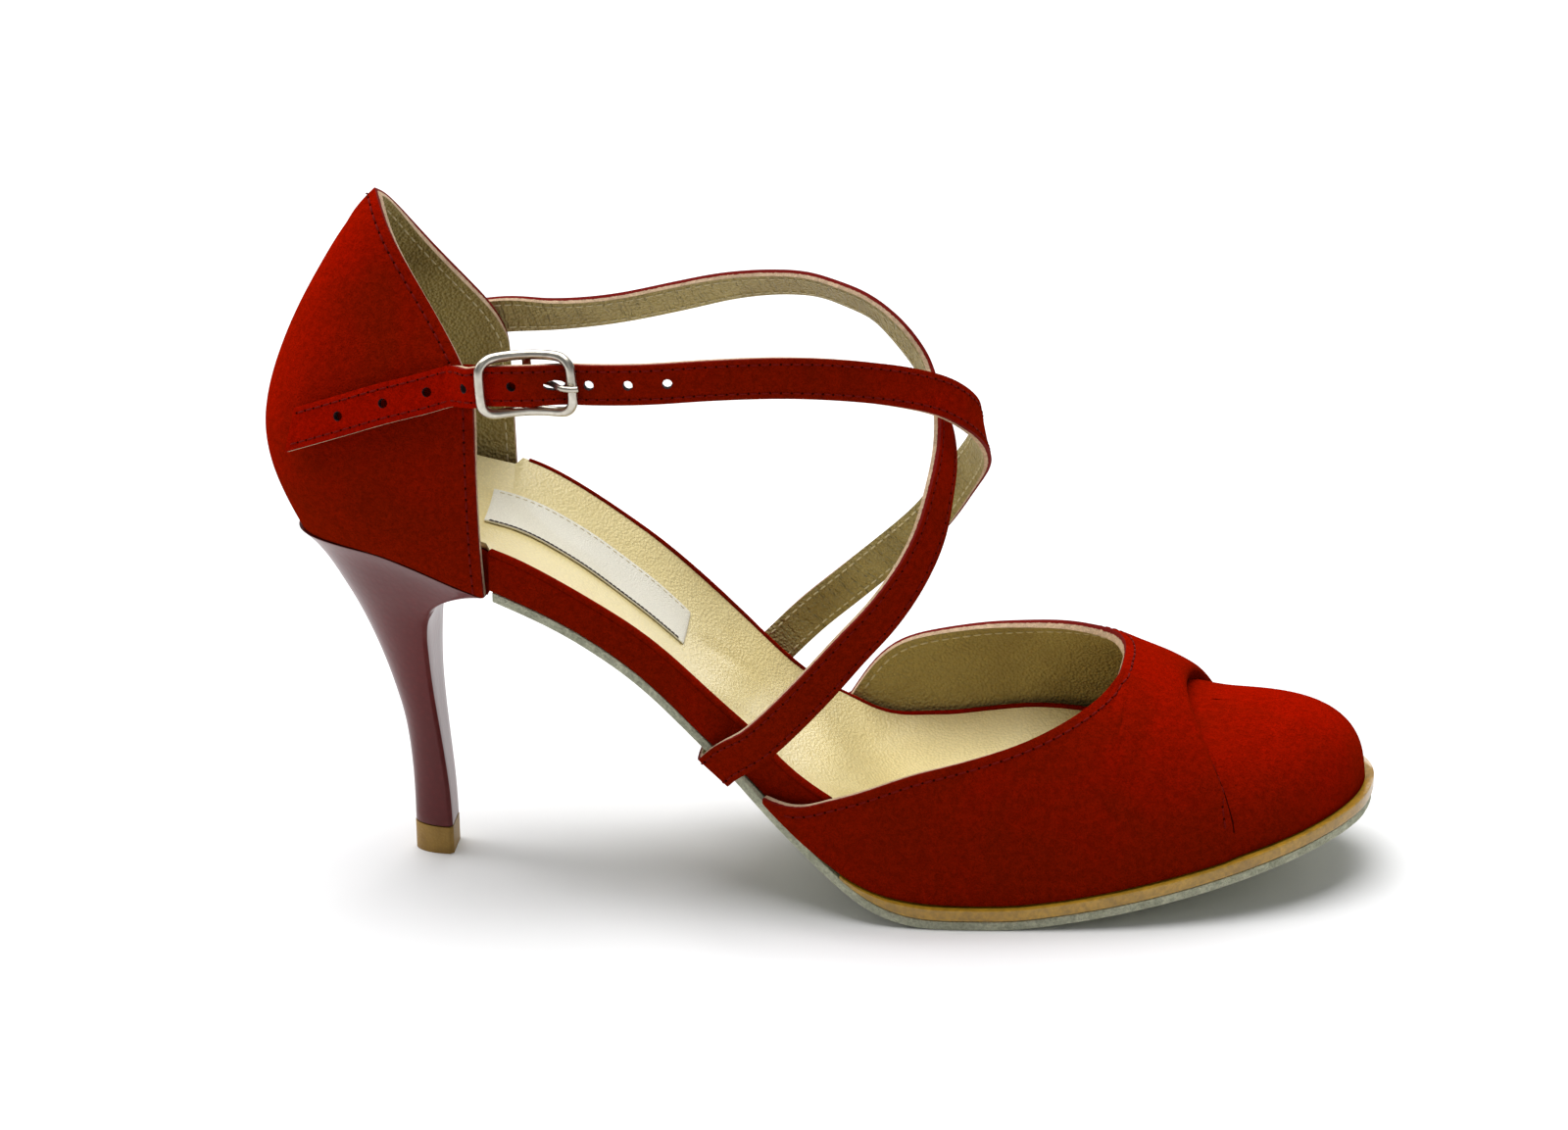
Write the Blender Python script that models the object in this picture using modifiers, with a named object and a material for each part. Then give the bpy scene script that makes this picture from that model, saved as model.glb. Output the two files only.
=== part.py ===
"""A woman's tango shoe: closed toe, heel counter, one crossed strap and a stiletto heel.

It is a right shoe of about EU size 37. Metres, +Z up, +X towards the toe, +Y towards the
inner side of the foot (medial), -Y towards the outer side (lateral). The origin is the
middle of the heel tip, on the floor.

Lengths along the shoe are read from short tables. A row's shares are shares of the
named sizes: "behind" runs from the seat's back (0) to the ball's flat spot (1), "length"
from the seat's back (0) to the last's toe (1).
"""

import math
from bisect import bisect_right
from collections import namedtuple

import bmesh
import bpy
from mathutils import Matrix, Vector

# The last
SEAT_BACK = 0.0258
SEAT_HEIGHT = 0.0717
BALL_BACK = 0.1040
BALL_FLAT = 0.0170
TOE_REACH = 0.1922
TOE_SPRING = 0.0138
BALL_WIDTH = 0.0710
ARCH_RAISE = 0.0047
TOE_ROUND = 0.0655
TOE_SQUARENESS = 2.15
SEAT_SQUARENESS = 2.1

# The layers of the sole
GAP = 0.0003
OUTSOLE_THICKNESS = 0.0018
MIDSOLE_THICKNESS = 0.0023
MIDSOLE_START = 0.0870
MIDSOLE_TAPER = 0.0140
LEDGE_SIDE = 0.0013
LEDGE_TOE = 0.0024
OUTSOLE_SETBACK = 0.0008
SOCK_THICKNESS = 0.0012
SOCK_RIM = 0.0011
SOCK_END = 0.1390
BED_END = 0.1600
BED_BACK_ROOM = 0.0022
BED_VAMP_ROOM = 0.0014
BED_TOE_ROOM = 0.0022
BED_TOE_SHARE = 0.12
BED_NARROWS = (-0.0120, -0.0020)
BED_EASE = (-0.0120, 0.0100)

# The heel
HEEL_FRONT = 0.0160
TIP_WIDTH = 0.0092
TIP_BACK = 0.0045
TIP_FRONT = 0.0040
LIFT_THICKNESS = 0.0061

# The upper
VAMP_WALL = 0.0016
VAMP_START = 0.0720
THROAT_FRONT = 0.1423
THROAT_HEIGHT = 0.0368
SECTION_SQUARENESS = 2.3
TOE_BOXINESS = 0.5
RIDGE_PULL = 0.0320
OVERLAY_EDGE = 0.1660
OVERLAY_RIDGE = 0.0030
OVERLAY_FEATHER = 0.0006
ROLL_LENGTH = 0.0030
ROLL_APPROACH = 0.0080
ROLL_LEAST = 0.15
COUNTER_WALL = 0.0022
COUNTER_FRONT = 0.0155
COUNTER_TOP = 0.1416
COUNTER_CORNER = 0.1045
APEX_FORWARD = 0.0183
COUNTER_BULGE = 0.0130
SIDE_BULGE = 0.0022

# The strap and its buckle
STRAP_WIDTH = 0.0080
STRAP_THICKNESS = 0.0016
STRAP_REACH = 0.1130
STRAP_SPREAD = 0.0290
STRAP_RISE = 0.1184
STRAP_STANDOFF = 0.0007
STRAP_TUCK = 0.0010
TAIL_SLANT = 0.0022
WRAP_START = (0.0700, 0.0140)
WRAP_END = (0.0695, 0.0125)
HOLE_WIDTH = 0.0020
HOLE_PITCH = 0.0088
BUCKLE_CENTRE = (0.0264, 0.1100)
BUCKLE_LENGTH = 0.0200
BUCKLE_HEIGHT = 0.0132
BUCKLE_WIRE = 0.0018
BUCKLE_BAR = 0.0016
BUCKLE_OUT = 0.0288
BUCKLE_BOW = 0.0016
LOOP_THICKNESS = 0.0009
LOOP_WIDTH = 0.0066
LOOP_DROP = 0.0012
PRONG_WIRE = 0.0013
PRONG_PLACE = 0.27
PRONG_SLOT = 0.0046
SEWN_CLEARANCE = 0.0007

# Where the buckle's bars lie: the strap runs behind the end bars and over the centre bar.
BUCKLE_CORNER = 0.0028
BUCKLE_TILT = math.radians(3.0)
END_BAR_Y = -(BUCKLE_OUT + STRAP_THICKNESS / 2 + 1.5 * GAP + BUCKLE_WIRE / 2)
CENTRE_BAR_Y = -(BUCKLE_OUT + BUCKLE_BOW) + STRAP_THICKNESS / 2 + 2 * GAP + LOOP_THICKNESS + BUCKLE_BAR / 2

# The label on the sock
LABEL_START = 0.0125
LABEL_LENGTH = 0.0402
LABEL_WIDTH = 0.0140
LABEL_SIDE = 0.0050
LABEL_THICKNESS = 0.0004

ProfileRow = namedtuple("ProfileRow", "behind rise")
PROFILE = (
    ProfileRow(0.0, 1.0),
    ProfileRow(0.06, 1.004),
    ProfileRow(0.137, 0.999),
    ProfileRow(0.206, 0.967),
    ProfileRow(0.268, 0.922),
    ProfileRow(0.327, 0.881),
    ProfileRow(0.385, 0.830),
    ProfileRow(0.441, 0.773),
    ProfileRow(0.485, 0.718),
    ProfileRow(0.529, 0.658),
    ProfileRow(0.572, 0.591),
    ProfileRow(0.638, 0.480),
    ProfileRow(0.702, 0.375),
    ProfileRow(0.754, 0.281),
    ProfileRow(0.800, 0.204),
    ProfileRow(0.837, 0.145),
    ProfileRow(0.868, 0.096),
    ProfileRow(0.912, 0.043),
    ProfileRow(0.954, 0.014),
    ProfileRow(1.0, 0.0),
)

# "half" and "centre" are shares of BALL_WIDTH: the outline is centre +- half.
PlanRow = namedtuple("PlanRow", "length half centre")
PLAN = (
    PlanRow(0.0, 0.345, 0.0),
    PlanRow(0.192, 0.345, 0.0),
    PlanRow(0.256, 0.330, 0.004),
    PlanRow(0.325, 0.318, 0.009),
    PlanRow(0.394, 0.358, 0.006),
    PlanRow(0.462, 0.430, -0.004),
    PlanRow(0.531, 0.474, -0.010),
    PlanRow(0.600, 0.496, -0.006),
    PlanRow(0.646, 0.500, 0.0),
    PlanRow(0.701, 0.499, 0.011),
    PlanRow(0.793, 0.499, 0.032),
    PlanRow(0.884, 0.499, 0.056),
    PlanRow(1.0, 0.499, 0.092),
)

# How far the inner edge of the sole stands above the outer one, as a share of ARCH_RAISE.
ArchRow = namedtuple("ArchRow", "behind raised")
ARCH = (
    ArchRow(0.0, 0.0),
    ArchRow(0.122, 0.15),
    ArchRow(0.237, 0.65),
    ArchRow(0.322, 0.85),
    ArchRow(0.422, 1.0),
    ArchRow(0.530, 0.92),
    ArchRow(0.622, 0.5),
    ArchRow(0.676, 0.2),
    ArchRow(0.753, 0.0),
)
ARCH_UNDERSIDE = 0.5

# The padded insole board: its core at the middle and the rise of its cupped edge.
BED_CORE = 0.0060
BED_CUP = 0.0080
BED_INNER_RAISE = 0.0055
BedRow = namedtuple("BedRow", "length core cup")
BED = (
    BedRow(0.0, 0.75, 0.45),
    BedRow(0.118, 0.75, 0.52),
    BedRow(0.192, 0.70, 0.45),
    BedRow(0.251, 0.54, 0.40),
    BedRow(0.290, 0.42, 0.49),
    BedRow(0.342, 0.34, 0.67),
    BedRow(0.395, 0.33, 0.80),
    BedRow(0.449, 0.34, 0.80),
    BedRow(0.485, 0.45, 0.78),
    BedRow(0.536, 0.76, 0.85),
    BedRow(0.586, 1.0, 1.0),
    BedRow(0.669, 1.0, 1.0),
    BedRow(0.715, 0.90, 0.82),
    BedRow(0.761, 0.75, 0.60),
    BedRow(0.820, 0.42, 0.20),
    BedRow(0.875, 0.40, 0.05),
)

# The crown of the vamp's sections above the feather line, as a share of THROAT_HEIGHT.
# Behind the throat's front it is the instep that the open section would reach.
CrownRow = namedtuple("CrownRow", "length crown")
CROWN = (
    CrownRow(0.439, 1.979),
    CrownRow(0.559, 1.771),
    CrownRow(0.637, 1.510),
    CrownRow(0.696, 1.263),
    CrownRow(0.733, 1.120),
    CrownRow(0.771, 1.000),
    CrownRow(0.793, 0.875),
    CrownRow(0.811, 0.755),
    CrownRow(0.824, 0.665),
    CrownRow(0.836, 0.625),
    CrownRow(0.870, 0.610),
    CrownRow(1.0, 0.610),
)

# How far back of the feather line's place a section of the toe reaches the ridge, as a share of RIDGE_PULL.
RidgeRow = namedtuple("RidgeRow", "length back")
RIDGE = (
    RidgeRow(0.771, 0.0),
    RidgeRow(0.797, 0.08),
    RidgeRow(0.825, 0.20),
    RidgeRow(0.852, 0.31),
    RidgeRow(0.880, 0.41),
    RidgeRow(0.940, 0.70),
    RidgeRow(1.0, 1.0),
)

# The throat line, from the wings' ends (0) to the throat's front (1): its height above the
# feather line on each side, as a share of THROAT_HEIGHT.
ThroatRow = namedtuple("ThroatRow", "forward lateral medial")
THROAT = (
    ThroatRow(0.0, 0.03, 0.04),
    ThroatRow(0.071, 0.12, 0.10),
    ThroatRow(0.135, 0.25, 0.19),
    ThroatRow(0.178, 0.345, 0.31),
    ThroatRow(0.235, 0.46, 0.58),
    ThroatRow(0.309, 0.585, 0.795),
    ThroatRow(0.427, 0.715, 0.905),
    ThroatRow(0.576, 0.790, 0.975),
    ThroatRow(0.711, 0.850, 1.010),
    ThroatRow(0.831, 0.895, 1.025),
    ThroatRow(0.923, 0.935, 1.020),
    ThroatRow(0.972, 0.965, 1.010),
    ThroatRow(1.0, 1.0, 1.0),
)

# The counter's topline, from the apex at the back (turn 0) to the front corner (turn 1).
ToplineRow = namedtuple("ToplineRow", "turn drop forward spread")
TOPLINE = (
    ToplineRow(0.0, 0.0, 0.0, 0.0),
    ToplineRow(0.10, 0.05, 0.06, 0.17),
    ToplineRow(0.22, 0.17, 0.17, 0.34),
    ToplineRow(0.36, 0.32, 0.33, 0.46),
    ToplineRow(0.50, 0.49, 0.53, 0.58),
    ToplineRow(0.66, 0.67, 0.74, 0.74),
    ToplineRow(0.82, 0.83, 0.90, 0.89),
    ToplineRow(1.0, 1.0, 1.0, 1.0),
)

# The counter's swell behind a straight line from the seat to the topline.
SwellRow = namedtuple("SwellRow", "level swell")
SWELL = (
    SwellRow(0.0, 0.0),
    SwellRow(0.08, 0.36),
    SwellRow(0.14, 0.58),
    SwellRow(0.24, 0.85),
    SwellRow(0.42, 1.0),
    SwellRow(0.60, 0.89),
    SwellRow(0.80, 0.58),
    SwellRow(0.93, 0.32),
    SwellRow(1.0, 0.0),
)

# The heel's sections: "drop" from the seat (0) to the floor (1). "back" and "breast" are
# shares of the tip's own reach plus the seat's, "half" the width from the tip's (0) to the seat's (1).
HeelRow = namedtuple("HeelRow", "drop back breast half")
HEEL = (
    HeelRow(0.0, 1.0, 1.0, 1.0),
    HeelRow(0.04, 0.860, 0.667, 0.86),
    HeelRow(0.10, 0.715, 0.267, 0.69),
    HeelRow(0.16, 0.600, -0.017, 0.545),
    HeelRow(0.22, 0.490, -0.175, 0.42),
    HeelRow(0.30, 0.365, -0.229, 0.30),
    HeelRow(0.40, 0.235, -0.225, 0.19),
    HeelRow(0.50, 0.130, -0.192, 0.115),
    HeelRow(0.60, 0.047, -0.133, 0.065),
    HeelRow(0.70, 0.009, -0.075, 0.033),
    HeelRow(0.80, -0.009, -0.017, 0.012),
    HeelRow(0.90, -0.009, 0.0, 0.0),
)

# The strap's route: reach, spread and rise are shares of STRAP_REACH, STRAP_SPREAD and
# STRAP_RISE. The face columns give the direction that its outer face looks in.
RootRow = namedtuple("RootRow", "reach rise")
ON_COUNTER = (
    RootRow(0.065, 0.906),
    RootRow(0.100, 0.911),
    RootRow(0.137, 0.914),
)
StrapRow = namedtuple("StrapRow", "reach spread rise face_x face_y face_z")
INNER_LEG = (
    StrapRow(0.204, 0.862, 0.916, -0.05, 0.85, 0.50),
    StrapRow(0.321, 0.897, 0.925, 0.0, 0.78, 0.60),
    StrapRow(0.442, 0.897, 0.950, 0.08, 0.77, 0.64),
    StrapRow(0.532, 0.828, 0.974, 0.18, 0.68, 0.71),
    StrapRow(0.624, 0.707, 0.991, 0.25, 0.62, 0.75),
    StrapRow(0.694, 0.586, 0.996, 0.33, 0.60, 0.73),
    StrapRow(0.747, 0.466, 0.989, 0.44, 0.58, 0.69),
    StrapRow(0.808, 0.310, 0.974, 0.57, 0.55, 0.61),
    StrapRow(0.866, 0.190, 0.930, 0.72, 0.55, 0.45),
    StrapRow(0.903, 0.103, 0.885, 0.82, 0.45, 0.38),
    StrapRow(0.926, -0.034, 0.848, 0.92, 0.20, 0.30),
    StrapRow(0.938, -0.155, 0.820, 0.95, -0.10, 0.25),
    StrapRow(0.945, -0.362, 0.773, 0.90, -0.35, 0.20),
    StrapRow(0.938, -0.600, 0.722, 0.85, -0.50, 0.15),
    StrapRow(0.922, -0.760, 0.660, 0.75, -0.65, 0.10),
    StrapRow(0.893, -0.862, 0.602, 0.65, -0.75, 0.05),
    StrapRow(0.844, -0.948, 0.535, 0.50, -0.85, 0.0),
    StrapRow(0.787, -1.017, 0.477, 0.40, -0.90, -0.05),
    StrapRow(0.735, -1.062, 0.421, 0.30, -0.95, -0.05),
    StrapRow(0.673, -1.076, 0.357, 0.20, -0.97, -0.10),
)
OUTER_LEG = (
    StrapRow(0.677, 1.069, 0.356, 0.15, 0.98, 0.0),
    StrapRow(0.740, 1.017, 0.411, 0.25, 0.95, 0.05),
    StrapRow(0.804, 0.966, 0.467, 0.35, 0.90, 0.05),
    StrapRow(0.901, 0.828, 0.560, 0.55, 0.80, 0.10),
    StrapRow(0.961, 0.655, 0.652, 0.70, 0.65, 0.15),
    StrapRow(0.993, 0.430, 0.712, 0.85, 0.40, 0.20),
    StrapRow(1.003, 0.172, 0.762, 0.85, 0.0, 0.30),
    StrapRow(0.988, -0.155, 0.826, 0.75, -0.45, 0.35),
    StrapRow(0.943, -0.352, 0.870, 0.55, -0.70, 0.36),
    StrapRow(0.879, -0.517, 0.898, 0.45, -0.80, 0.35),
    StrapRow(0.825, -0.621, 0.913, 0.35, -0.88, 0.25),
    StrapRow(0.689, -0.862, 0.938, 0.15, -0.95, 0.10),
    StrapRow(0.552, -0.966, 0.940, 0.05, -1.0, 0.0),
    StrapRow(0.441, -1.017, 0.935, 0.0, -1.0, 0.0),
)

# The strap's wrap under the waist: "across" is a share of the sole's half-width, and "turned"
# is how far its face has turned from the side (0) to straight under the sole (1).
EDGE_FOLLOWED = 0.3
WaistRow = namedtuple("WaistRow", "reach across turned")
UNDER_WAIST = (
    WaistRow(0.552, -1.0, 0.0),
    WaistRow(0.552, -1.0, 0.5),
    WaistRow(0.552, -1.0, 1.0),
    WaistRow(0.554, -0.4, 1.0),
    WaistRow(0.558, 0.4, 1.0),
    WaistRow(0.560, 1.0, 1.0),
    WaistRow(0.560, 1.0, 0.5),
    WaistRow(0.560, 1.0, 0.0),
)

# The strap at the buckle and its tail over the counter: "along" in buckle lengths from the
# buckle's centre, "lift" in strap widths, and "bow" its way over the centre bar, as a share of BUCKLE_BOW.
TailRow = namedtuple("TailRow", "along lift bow")
THROUGH_BUCKLE = (
    TailRow(0.56, 0.03, 0.0),
    TailRow(0.42, 0.04, 0.0),
    TailRow(0.27, 0.05, 0.42),
    TailRow(0.10, 0.05, 0.94),
    TailRow(-0.10, 0.03, 0.94),
    TailRow(-0.27, -0.01, 0.42),
    TailRow(-0.42, -0.05, 0.0),
    TailRow(-0.54, -0.11, -0.15),
)
OVER_COUNTER = (
    TailRow(-0.78, -0.31, 0.0),
    TailRow(-1.08, -0.55, 0.0),
    TailRow(-1.50, -0.85, 0.0),
    TailRow(-1.92, -1.22, 0.0),
    TailRow(-2.42, -1.72, 0.0),
)

# The punched holes, in HOLE_PITCH along the strap from the one that the prong is in.
HOLES = (-2.53, -1.66, -0.78, 0.0, 0.94, 2.08, 3.25, 4.30, 5.42)


def slopes_of(xs, ys):
    """Slopes that keep a cubic through the points from overshooting."""
    steps = [(y1 - y0) / (x1 - x0) for x0, x1, y0, y1 in zip(xs, xs[1:], ys, ys[1:])]
    slopes = [steps[0]]
    for before, after in zip(steps, steps[1:]):
        same_way = before * after > 0
        slopes.append(2 * before * after / (before + after) if same_way else 0.0)
    slopes.append(steps[-1])
    return slopes


def read(rows, column, at):
    """A smooth value of one named column, where the table's first column is at."""
    xs = [row[0] for row in rows]
    ys = [getattr(row, column) for row in rows]
    slopes = slopes_of(xs, ys)
    at = min(max(at, xs[0]), xs[-1])
    i = min(bisect_right(xs, at) - 1, len(xs) - 2)
    width = xs[i + 1] - xs[i]
    t = (at - xs[i]) / width
    return (
        ys[i] * (1 + 2 * t) * (1 - t) ** 2
        + slopes[i] * width * t * (1 - t) ** 2
        + ys[i + 1] * t * t * (3 - 2 * t)
        + slopes[i + 1] * width * t * t * (t - 1)
    )


def blend(at, start, end):
    """0 before start, 1 after end, and smooth between."""
    t = min(max((at - start) / (end - start), 0.0), 1.0)
    return t * t * (3 - 2 * t)


def behind_share(x):
    return (x + SEAT_BACK) / (SEAT_BACK + BALL_BACK)


def length_share(x):
    return (x + SEAT_BACK) / (SEAT_BACK + TOE_REACH)


def profile(x):
    """Height of the sole's underside, at its outer edge."""
    ball_front = BALL_BACK + BALL_FLAT
    if x > ball_front:
        toe = (x - ball_front) / (TOE_REACH - ball_front)
        return TOE_SPRING * toe**1.3
    return SEAT_HEIGHT * read(PROFILE, "rise", behind_share(x))


def steep(x):
    """Vertical thickness of a layer one thick, on the sole's slope."""
    step = 0.0005
    slope = (profile(x + step) - profile(x - step)) / (2 * step)
    return math.hypot(1.0, slope)


def centre(x):
    return BALL_WIDTH * read(PLAN, "centre", length_share(x))


def round_toe(x, toe_end):
    toe_start = TOE_REACH - TOE_ROUND
    t = min(max((x - toe_start) / (toe_end - toe_start), 0.0), 1.0)
    return (1 - t**TOE_SQUARENESS) ** (1 / TOE_SQUARENESS)


def round_seat(x, seat_end):
    t = min(max((HEEL_FRONT - x) / (HEEL_FRONT - seat_end), 0.0), 1.0)
    return (1 - t**SEAT_SQUARENESS) ** (1 / SEAT_SQUARENESS)


def body_half(x):
    """Half-width of the last at the feather line, before its ends are rounded."""
    return BALL_WIDTH * read(PLAN, "half", length_share(x))


def half_width(x, grow=0.0, toe_end=TOE_REACH, seat_end=-SEAT_BACK):
    return (body_half(x) + grow) * round_toe(x, toe_end) * round_seat(x, seat_end)


def arch(x):
    return ARCH_RAISE * read(ARCH, "raised", behind_share(x))


def inner_side(x, y):
    """0 at the middle of the sole and 1 at its medial edge."""
    return min(max((y - centre(x)) / body_half(x), 0.0), 1.2) ** 1.5


def underside(x, y):
    beyond_heel = blend(x, HEEL_FRONT, HEEL_FRONT + 0.0200)
    return profile(x) + ARCH_UNDERSIDE * beyond_heel * arch(x) * inner_side(x, y)


def outsole_top(x, y):
    return underside(x, y) + OUTSOLE_THICKNESS * steep(x)


def midsole_height(x):
    taper = 0.25 + 0.75 * blend(x, MIDSOLE_START, MIDSOLE_START + MIDSOLE_TAPER)
    return MIDSOLE_THICKNESS * steep(x) * taper


def midsole_top(x, y):
    return outsole_top(x, y) + GAP + midsole_height(x)


def bed_bottom(x, y):
    """Underside of the insole board: on the heel's top, the outsole and the midsole in turn."""
    on_outsole = blend(x, HEEL_FRONT, HEEL_FRONT + 3 * GAP)
    on_midsole = blend(x, MIDSOLE_START - MIDSOLE_TAPER / 3, MIDSOLE_START - 2 * GAP)
    sole = on_outsole * (OUTSOLE_THICKNESS * steep(x) + GAP)
    return underside(x, y) + GAP + sole + on_midsole * (midsole_height(x) + GAP)


def feather(x, y):
    """The line where the vamp meets the sole."""
    on_midsole = blend(x, MIDSOLE_START - MIDSOLE_TAPER / 3, MIDSOLE_START - 2 * GAP)
    return outsole_top(x, y) + 1.5 * GAP * steep(x) + on_midsole * (midsole_height(x) + GAP)


def bed_inset(x):
    """The board is full width along the waist, and inside the counter and the vamp."""
    in_counter = 1 - blend(x, COUNTER_FRONT + GAP, COUNTER_FRONT + 4 * GAP)
    in_vamp = blend(x, VAMP_START + BED_NARROWS[0], VAMP_START + BED_NARROWS[1])
    in_toe = blend(x, BALL_BACK, THROAT_FRONT)
    return in_counter * (COUNTER_WALL + 2 * GAP) + in_vamp * (VAMP_WALL + GAP + BED_VAMP_ROOM) + in_toe * BED_TOE_ROOM


BED_BACK = -SEAT_BACK + COUNTER_WALL + GAP + BED_BACK_ROOM
BED_TOE = BED_END + TOE_ROUND * BED_TOE_SHARE


def bed_half(x):
    return half_width(x, -bed_inset(x), BED_TOE, BED_BACK)


def rim_share(x, y):
    """0 along the middle of the board and 1 all round its rim."""
    across = min(abs(y - centre(x)) / (body_half(x) - bed_inset(x)), 1.0)
    back = min(max((HEEL_FRONT - x) / (HEEL_FRONT - BED_BACK), 0.0), 1.0)
    return min((across**SEAT_SQUARENESS + back**SEAT_SQUARENESS) ** (1 / SEAT_SQUARENESS), 1.0)


def bed_top(x, y):
    """The footbed's surface: smooth over the steps of what lies under the board."""
    on_outsole = blend(x, HEEL_FRONT + BED_EASE[0], HEEL_FRONT + BED_EASE[1])
    on_midsole = blend(x, MIDSOLE_START - MIDSOLE_TAPER, MIDSOLE_START)
    base = profile(x) + GAP + on_outsole * (OUTSOLE_THICKNESS * steep(x) + GAP) + on_midsole * (midsole_height(x) + GAP)
    core = BED_CORE * read(BED, "core", length_share(x)) * steep(x)
    cup = BED_CUP * read(BED, "cup", length_share(x)) * rim_share(x, y) ** 3
    raised = arch(x) * inner_side(x, y)
    forepart = blend(x, BALL_BACK - BALL_FLAT / 2, BALL_BACK + 2 * BALL_FLAT) - blend(x, SOCK_END, BED_END)
    return base + core + cup + raised + BED_INNER_RAISE * forepart * inner_side(x, y)


def sock_top(x, y):
    return bed_top(x, y) + GAP + SOCK_THICKNESS * steep(x)


def mesh_object(name, points, faces, material):
    """An object in the shoe's collection, with coinciding points welded and faces turned out."""
    mesh = bpy.data.meshes.new(name)
    shape = bmesh.new()
    corners = [shape.verts.new(point) for point in points]
    for face in faces:
        shape.faces.new([corners[i] for i in face])
    bmesh.ops.remove_doubles(shape, verts=shape.verts, dist=2e-6)
    bmesh.ops.dissolve_degenerate(shape, edges=shape.edges, dist=2e-6)
    bmesh.ops.recalc_face_normals(shape, faces=shape.faces)
    shape.to_mesh(mesh)
    shape.free()
    mesh.shade_smooth()
    mesh.set_sharp_from_angle(angle=math.radians(40))
    made = bpy.data.objects.new(name, mesh)
    made.data.materials.append(material)
    shoe.objects.link(made)
    return made


def loft(name, rings, material):
    """Closed rings of equal count, skinned and capped at both ends."""
    count = len(rings[0])
    points = [point for ring in rings for point in ring]
    faces = []
    for i in range(len(rings) - 1):
        for j in range(count):
            k = (j + 1) % count
            faces.append((i * count + j, i * count + k, (i + 1) * count + k, (i + 1) * count + j))
    last = (len(rings) - 1) * count
    half = count // 2
    for start in (0, last):
        for j in range(half - 1):
            faces.append((start + j, start + j + 1, start + count - 2 - j, start + count - 1 - j))
        if count % 2:
            faces.append((start + half - 1, start + half, start + half + 1))
    return mesh_object(name, points, faces, material)


def slab_ring(x, half, bottom, top, across):
    """A ring across a layer of the sole: along its top, then back along its underside."""
    ys = [centre(x) + half * share for share in across]
    upper = [(x, y, top(x, y)) for y in ys]
    lower = [(x, y, bottom(x, y)) for y in reversed(ys)]
    return upper + lower


def stations(start, end, seat_end=None, toe_end=None):
    """Places along the shoe, closer together where an end is round."""
    toe_start = TOE_REACH - TOE_ROUND
    count = 21
    spots = []
    if seat_end is not None:
        for step in range(9):
            turn = math.sin(math.pi / 2 * (1 - step / 9)) ** (2 / SEAT_SQUARENESS)
            spots.append(HEEL_FRONT - (HEEL_FRONT - seat_end) * turn)
    else:
        spots.append(start)
    for step in range(count + 1):
        x = HEEL_FRONT + (toe_start - HEEL_FRONT) * step / count
        if start + 0.0015 < x < end - 0.0015:
            spots.append(x)
    if toe_end is None:
        spots.append(end)
        return spots
    for step in range(1, 13):
        turn = math.sin(math.pi / 2 * step / 12) ** (2 / TOE_SQUARENESS)
        x = toe_start + (toe_end - toe_start) * turn
        if x < end - 0.0015:
            spots.append(x)
    spots.append(end)
    return spots


FLAT_ACROSS = (-1.0, -0.5, 0.0, 0.35, 0.7, 1.0)
CUPPED_ACROSS = (-1.0, -0.88, -0.7, -0.4, 0.0, 0.4, 0.7, 0.88, 1.0)


def make_outsole():
    start = HEEL_FRONT + 4 * GAP
    toe_end = TOE_REACH + LEDGE_TOE - OUTSOLE_SETBACK / 2
    rings = []
    for x in stations(start, toe_end, toe_end=toe_end):
        forepart = blend(x, MIDSOLE_START - 0.0100, MIDSOLE_START + MIDSOLE_TAPER)
        grow = forepart * (LEDGE_SIDE - OUTSOLE_SETBACK / 2) - (1 - forepart) * OUTSOLE_SETBACK
        half = half_width(x, grow, toe_end)
        rings.append(slab_ring(x, half, underside, outsole_top, FLAT_ACROSS))
    return loft("outsole", rings, suede_sole)


def make_midsole():
    toe_end = TOE_REACH + LEDGE_TOE
    rings = []
    for x in stations(MIDSOLE_START, toe_end, toe_end=toe_end):
        grow = LEDGE_SIDE * blend(x, MIDSOLE_START - 0.0060, MIDSOLE_START + MIDSOLE_TAPER)
        half = half_width(x, grow, toe_end)
        bottom = lambda x, y: outsole_top(x, y) + GAP
        rings.append(slab_ring(x, half, bottom, midsole_top, FLAT_ACROSS))
    return loft("midsole", rings, amber_edge)


def make_insole_board():
    spots = stations(BED_BACK, BED_END, seat_end=BED_BACK, toe_end=BED_TOE)
    spots += [COUNTER_FRONT + GAP, HEEL_FRONT + 3 * GAP]
    spots = sorted(spots)
    rings = [slab_ring(x, bed_half(x), bed_bottom, bed_top, CUPPED_ACROSS) for x in spots]
    return loft("insole_board", rings, red_suede)


def make_insole():
    """The sock lining: a thin sheet on the board, a rim in from its edge."""
    seat_end = BED_BACK + SOCK_RIM
    spots = stations(seat_end, SOCK_END, seat_end=seat_end)
    spots += [COUNTER_FRONT + GAP, HEEL_FRONT + 3 * GAP]
    spots = sorted(spots)
    rings = []
    for x in spots:
        half = max(bed_half(x) - SOCK_RIM, 0.0) if x > seat_end else 0.0
        bottom = lambda x, y: bed_top(x, y) + GAP
        rings.append(slab_ring(x, half, bottom, sock_top, CUPPED_ACROSS))
    return loft("insole", rings, sock_leather)


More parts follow.
